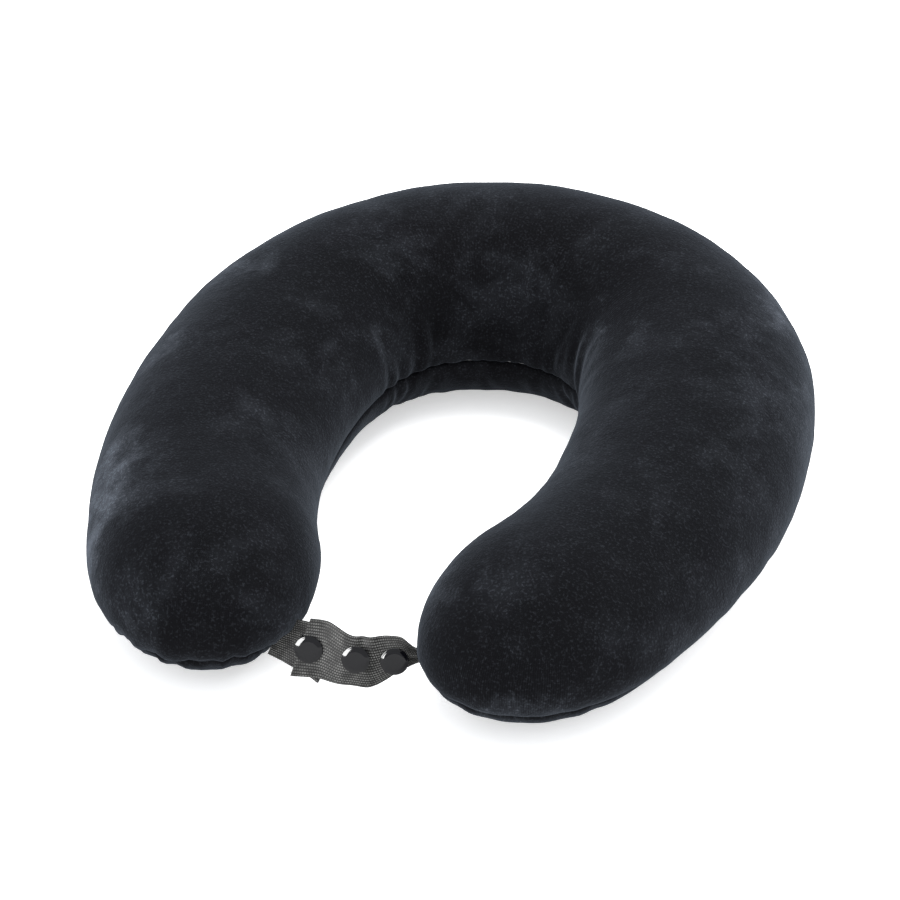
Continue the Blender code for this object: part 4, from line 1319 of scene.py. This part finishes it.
class PILLOW_OT_label(Operator):
    """Hang the blank satin care label from the seam beside the zip"""
    bl_idname = "pillow.label"
    bl_label = "Care label"

    def execute(self, context):
        looks = context.scene.pillow_looks
        low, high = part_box("care_label")
        start, sweep = -56.0 * DEGREE, 7.5 * DEGREE
        flat = NAPE_HALF_WIDTH - CORNER_WIDTH
        lower_angle = (OUTER_SEAM_ANGLE - SEAM_BAND) / 2
        fall = np.linspace(OUTER_SEAM_ANGLE, lower_angle, 26)[None, :]
        share = (OUTER_SEAM_ANGLE - fall) / (OUTER_SEAM_ANGLE - lower_angle)
        bearing = (start + sweep * np.linspace(0, 1, 22))[:, None]
        ripple = 0.35 * MM * np.sin(bearing / sweep * 9.0 + share * 2) * share
        out = 1.0 * MM + 0.9 * MM * share ** 2 + ripple
        across = NAPE_RADIUS + flat + (CORNER_WIDTH + out) * np.sin(fall)
        points = np.stack([np.sin(bearing) * across + NAPE_CENTRE[0],
                           np.cos(bearing) * across + NAPE_CENTRE[1],
                           NAPE_BELLY * (1 - np.cos(fall)) - out * np.cos(fall) + 0 * bearing], axis=-1)
        long = np.linalg.norm(np.diff(points[10], axis=0), axis=1).sum()
        uvs = np.stack(np.broadcast_arrays(share * long, (bearing - start) * (NAPE_RADIUS + 0.05)), axis=-1)
        pale = tuple(looks.satin)
        dim = tuple(channel * 0.8 for channel in pale)
        satin = woven_material("satin_ribbon", dim, pale, 0.9, 0.22 * MM, 0.6 * MM, 0.25, Roughness=0.38,
                               Sheen_Weight=0.2)
        label = object_of("satin_label", grid_mesh("satin_label", points, uvs), satin)
        thickened(label, 0.18 * MM, 1.0)
        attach(label, "pillow")
        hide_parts("care_label")
        if high.z < low.z + 5 * MM:
            raise RuntimeError("the label's place is too short")
        return {"FINISHED"}


# ---- Stage -----------------------------------------------------------------------------------------

def soft_box(name, place, aim, size_x, size_y, power):
    light = bpy.data.lights.new(name, "AREA")
    light.shape = "RECTANGLE"
    light.size, light.size_y = size_x, size_y
    light.energy = power
    made = bpy.data.objects.new(name, light)
    made.location = place
    made.rotation_euler = (Vector(aim) - Vector(place)).to_track_quat("-Z", "Y").to_euler()
    bpy.context.scene.collection.objects.link(made)
    return made


class PILLOW_OT_stage(Operator):
    """Set out the pale floor, the studio lights and the camera"""
    bl_idname = "pillow.stage"
    bl_label = "Floor, lights and camera"

    def execute(self, context):
        scene = context.scene
        data = bpy.data.meshes.new("floor")
        with edited(data) as mesh:
            bmesh.ops.create_circle(mesh, cap_ends=True, segments=96, radius=FLOOR_RADIUS)
        pale, tree, shader = principled("pale_floor", Roughness=0.9, Specular_IOR_Level=0.0,
                                      Emission_Color=(1, 1, 1, 1), Emission_Strength=0.5)
        tone = noise_texture(tree, object_place(tree), 3.0, 2.0)
        shade = mix(tree, tone, (0.90, 0.90, 0.90, 1), (0.94, 0.94, 0.94, 1))
        tree.links.new(shade, shader.inputs["Base Color"])
        floor = object_of("floor", data, pale)
        floor.location.z = -0.3 * MM
        world = bpy.data.worlds.new("studio")
        world.use_nodes = True
        sky = world.node_tree.nodes["Background"].inputs
        sky["Color"].default_value = (0.95, 0.97, 1.0, 1.0)
        sky["Strength"].default_value = 1.45
        scene.world = world
        middle = (0, 0, 0.05)
        soft_box("top_box", (0.1, 0.35, 1.6), middle, 1.4, 1.2, 26)
        card = soft_box("gloss_card", (-0.52, -0.95, 0.31), (0, -0.15, 0.02), 0.56, 0.8, 84)
        card.visible_diffuse = False
        soft_box("back_box", (0.9, 1.2, 0.9), middle, 1.0, 0.7, 14)
        target = Vector((0, 0, 0.045))
        level = math.cos(CAMERA_ELEVATION)
        back = Vector((math.sin(CAMERA_AZIMUTH) * level, -math.cos(CAMERA_AZIMUTH) * level,
                       math.sin(CAMERA_ELEVATION)))
        camera_data = bpy.data.cameras.new("camera")
        camera_data.lens = CAMERA_LENS
        camera_data.sensor_width = 36.0
        camera_data.shift_x, camera_data.shift_y = CAMERA_SHIFT
        camera_data.clip_end = 60.0
        camera = bpy.data.objects.new("camera", camera_data)
        camera.location = target + back * CAMERA_DISTANCE
        camera.rotation_euler = (-back).to_track_quat("-Z", "Y").to_euler()
        scene.collection.objects.link(camera)
        scene.camera = camera
        scene.view_settings.view_transform = "Standard"
        return {"FINISHED"}


class PILLOW_PT_panel(Panel):
    """Sizes, colours and the steps that build the pillow"""
    bl_idname = "PILLOW_PT_panel"
    bl_label = "Neck Pillow"
    bl_space_type = "VIEW_3D"
    bl_region_type = "UI"
    bl_category = "Neck Pillow"

    def draw(self, context):
        for label, group in (("Form", context.scene.pillow_form), ("Straps", context.scene.pillow_straps),
                             ("Colours", context.scene.pillow_looks)):
            box = self.layout.box()
            box.label(text=label)
            for key in group.bl_rna.properties.keys():
                if key not in ("rna_type", "name"):
                    box.prop(group, key)
        for step in STEPS:
            self.layout.operator(step.bl_idname)


GROUPS = {"pillow_form": PillowForm, "pillow_straps": PillowStraps, "pillow_looks": PillowLooks}
STEPS = (PILLOW_OT_stage, PILLOW_OT_cover, PILLOW_OT_filling, PILLOW_OT_straps, PILLOW_OT_threads,
         PILLOW_OT_snaps, PILLOW_OT_zip, PILLOW_OT_label)


def register():
    for item in (*GROUPS.values(), *STEPS, PILLOW_PT_panel):
        bpy.utils.register_class(item)
    for name, group in GROUPS.items():
        setattr(bpy.types.Scene, name, PointerProperty(type=group))


def unregister():
    for name in GROUPS:
        delattr(bpy.types.Scene, name)
    for item in reversed((*GROUPS.values(), *STEPS, PILLOW_PT_panel)):
        bpy.utils.unregister_class(item)


def main():
    register()
    bpy.ops.pillow.stage()
    bpy.ops.pillow.cover()
    bpy.ops.pillow.filling()
    bpy.ops.pillow.straps()
    bpy.ops.pillow.threads()
    bpy.ops.pillow.snaps()
    bpy.ops.pillow.zip()
    bpy.ops.pillow.label()


if __name__ == "__main__":
    main()
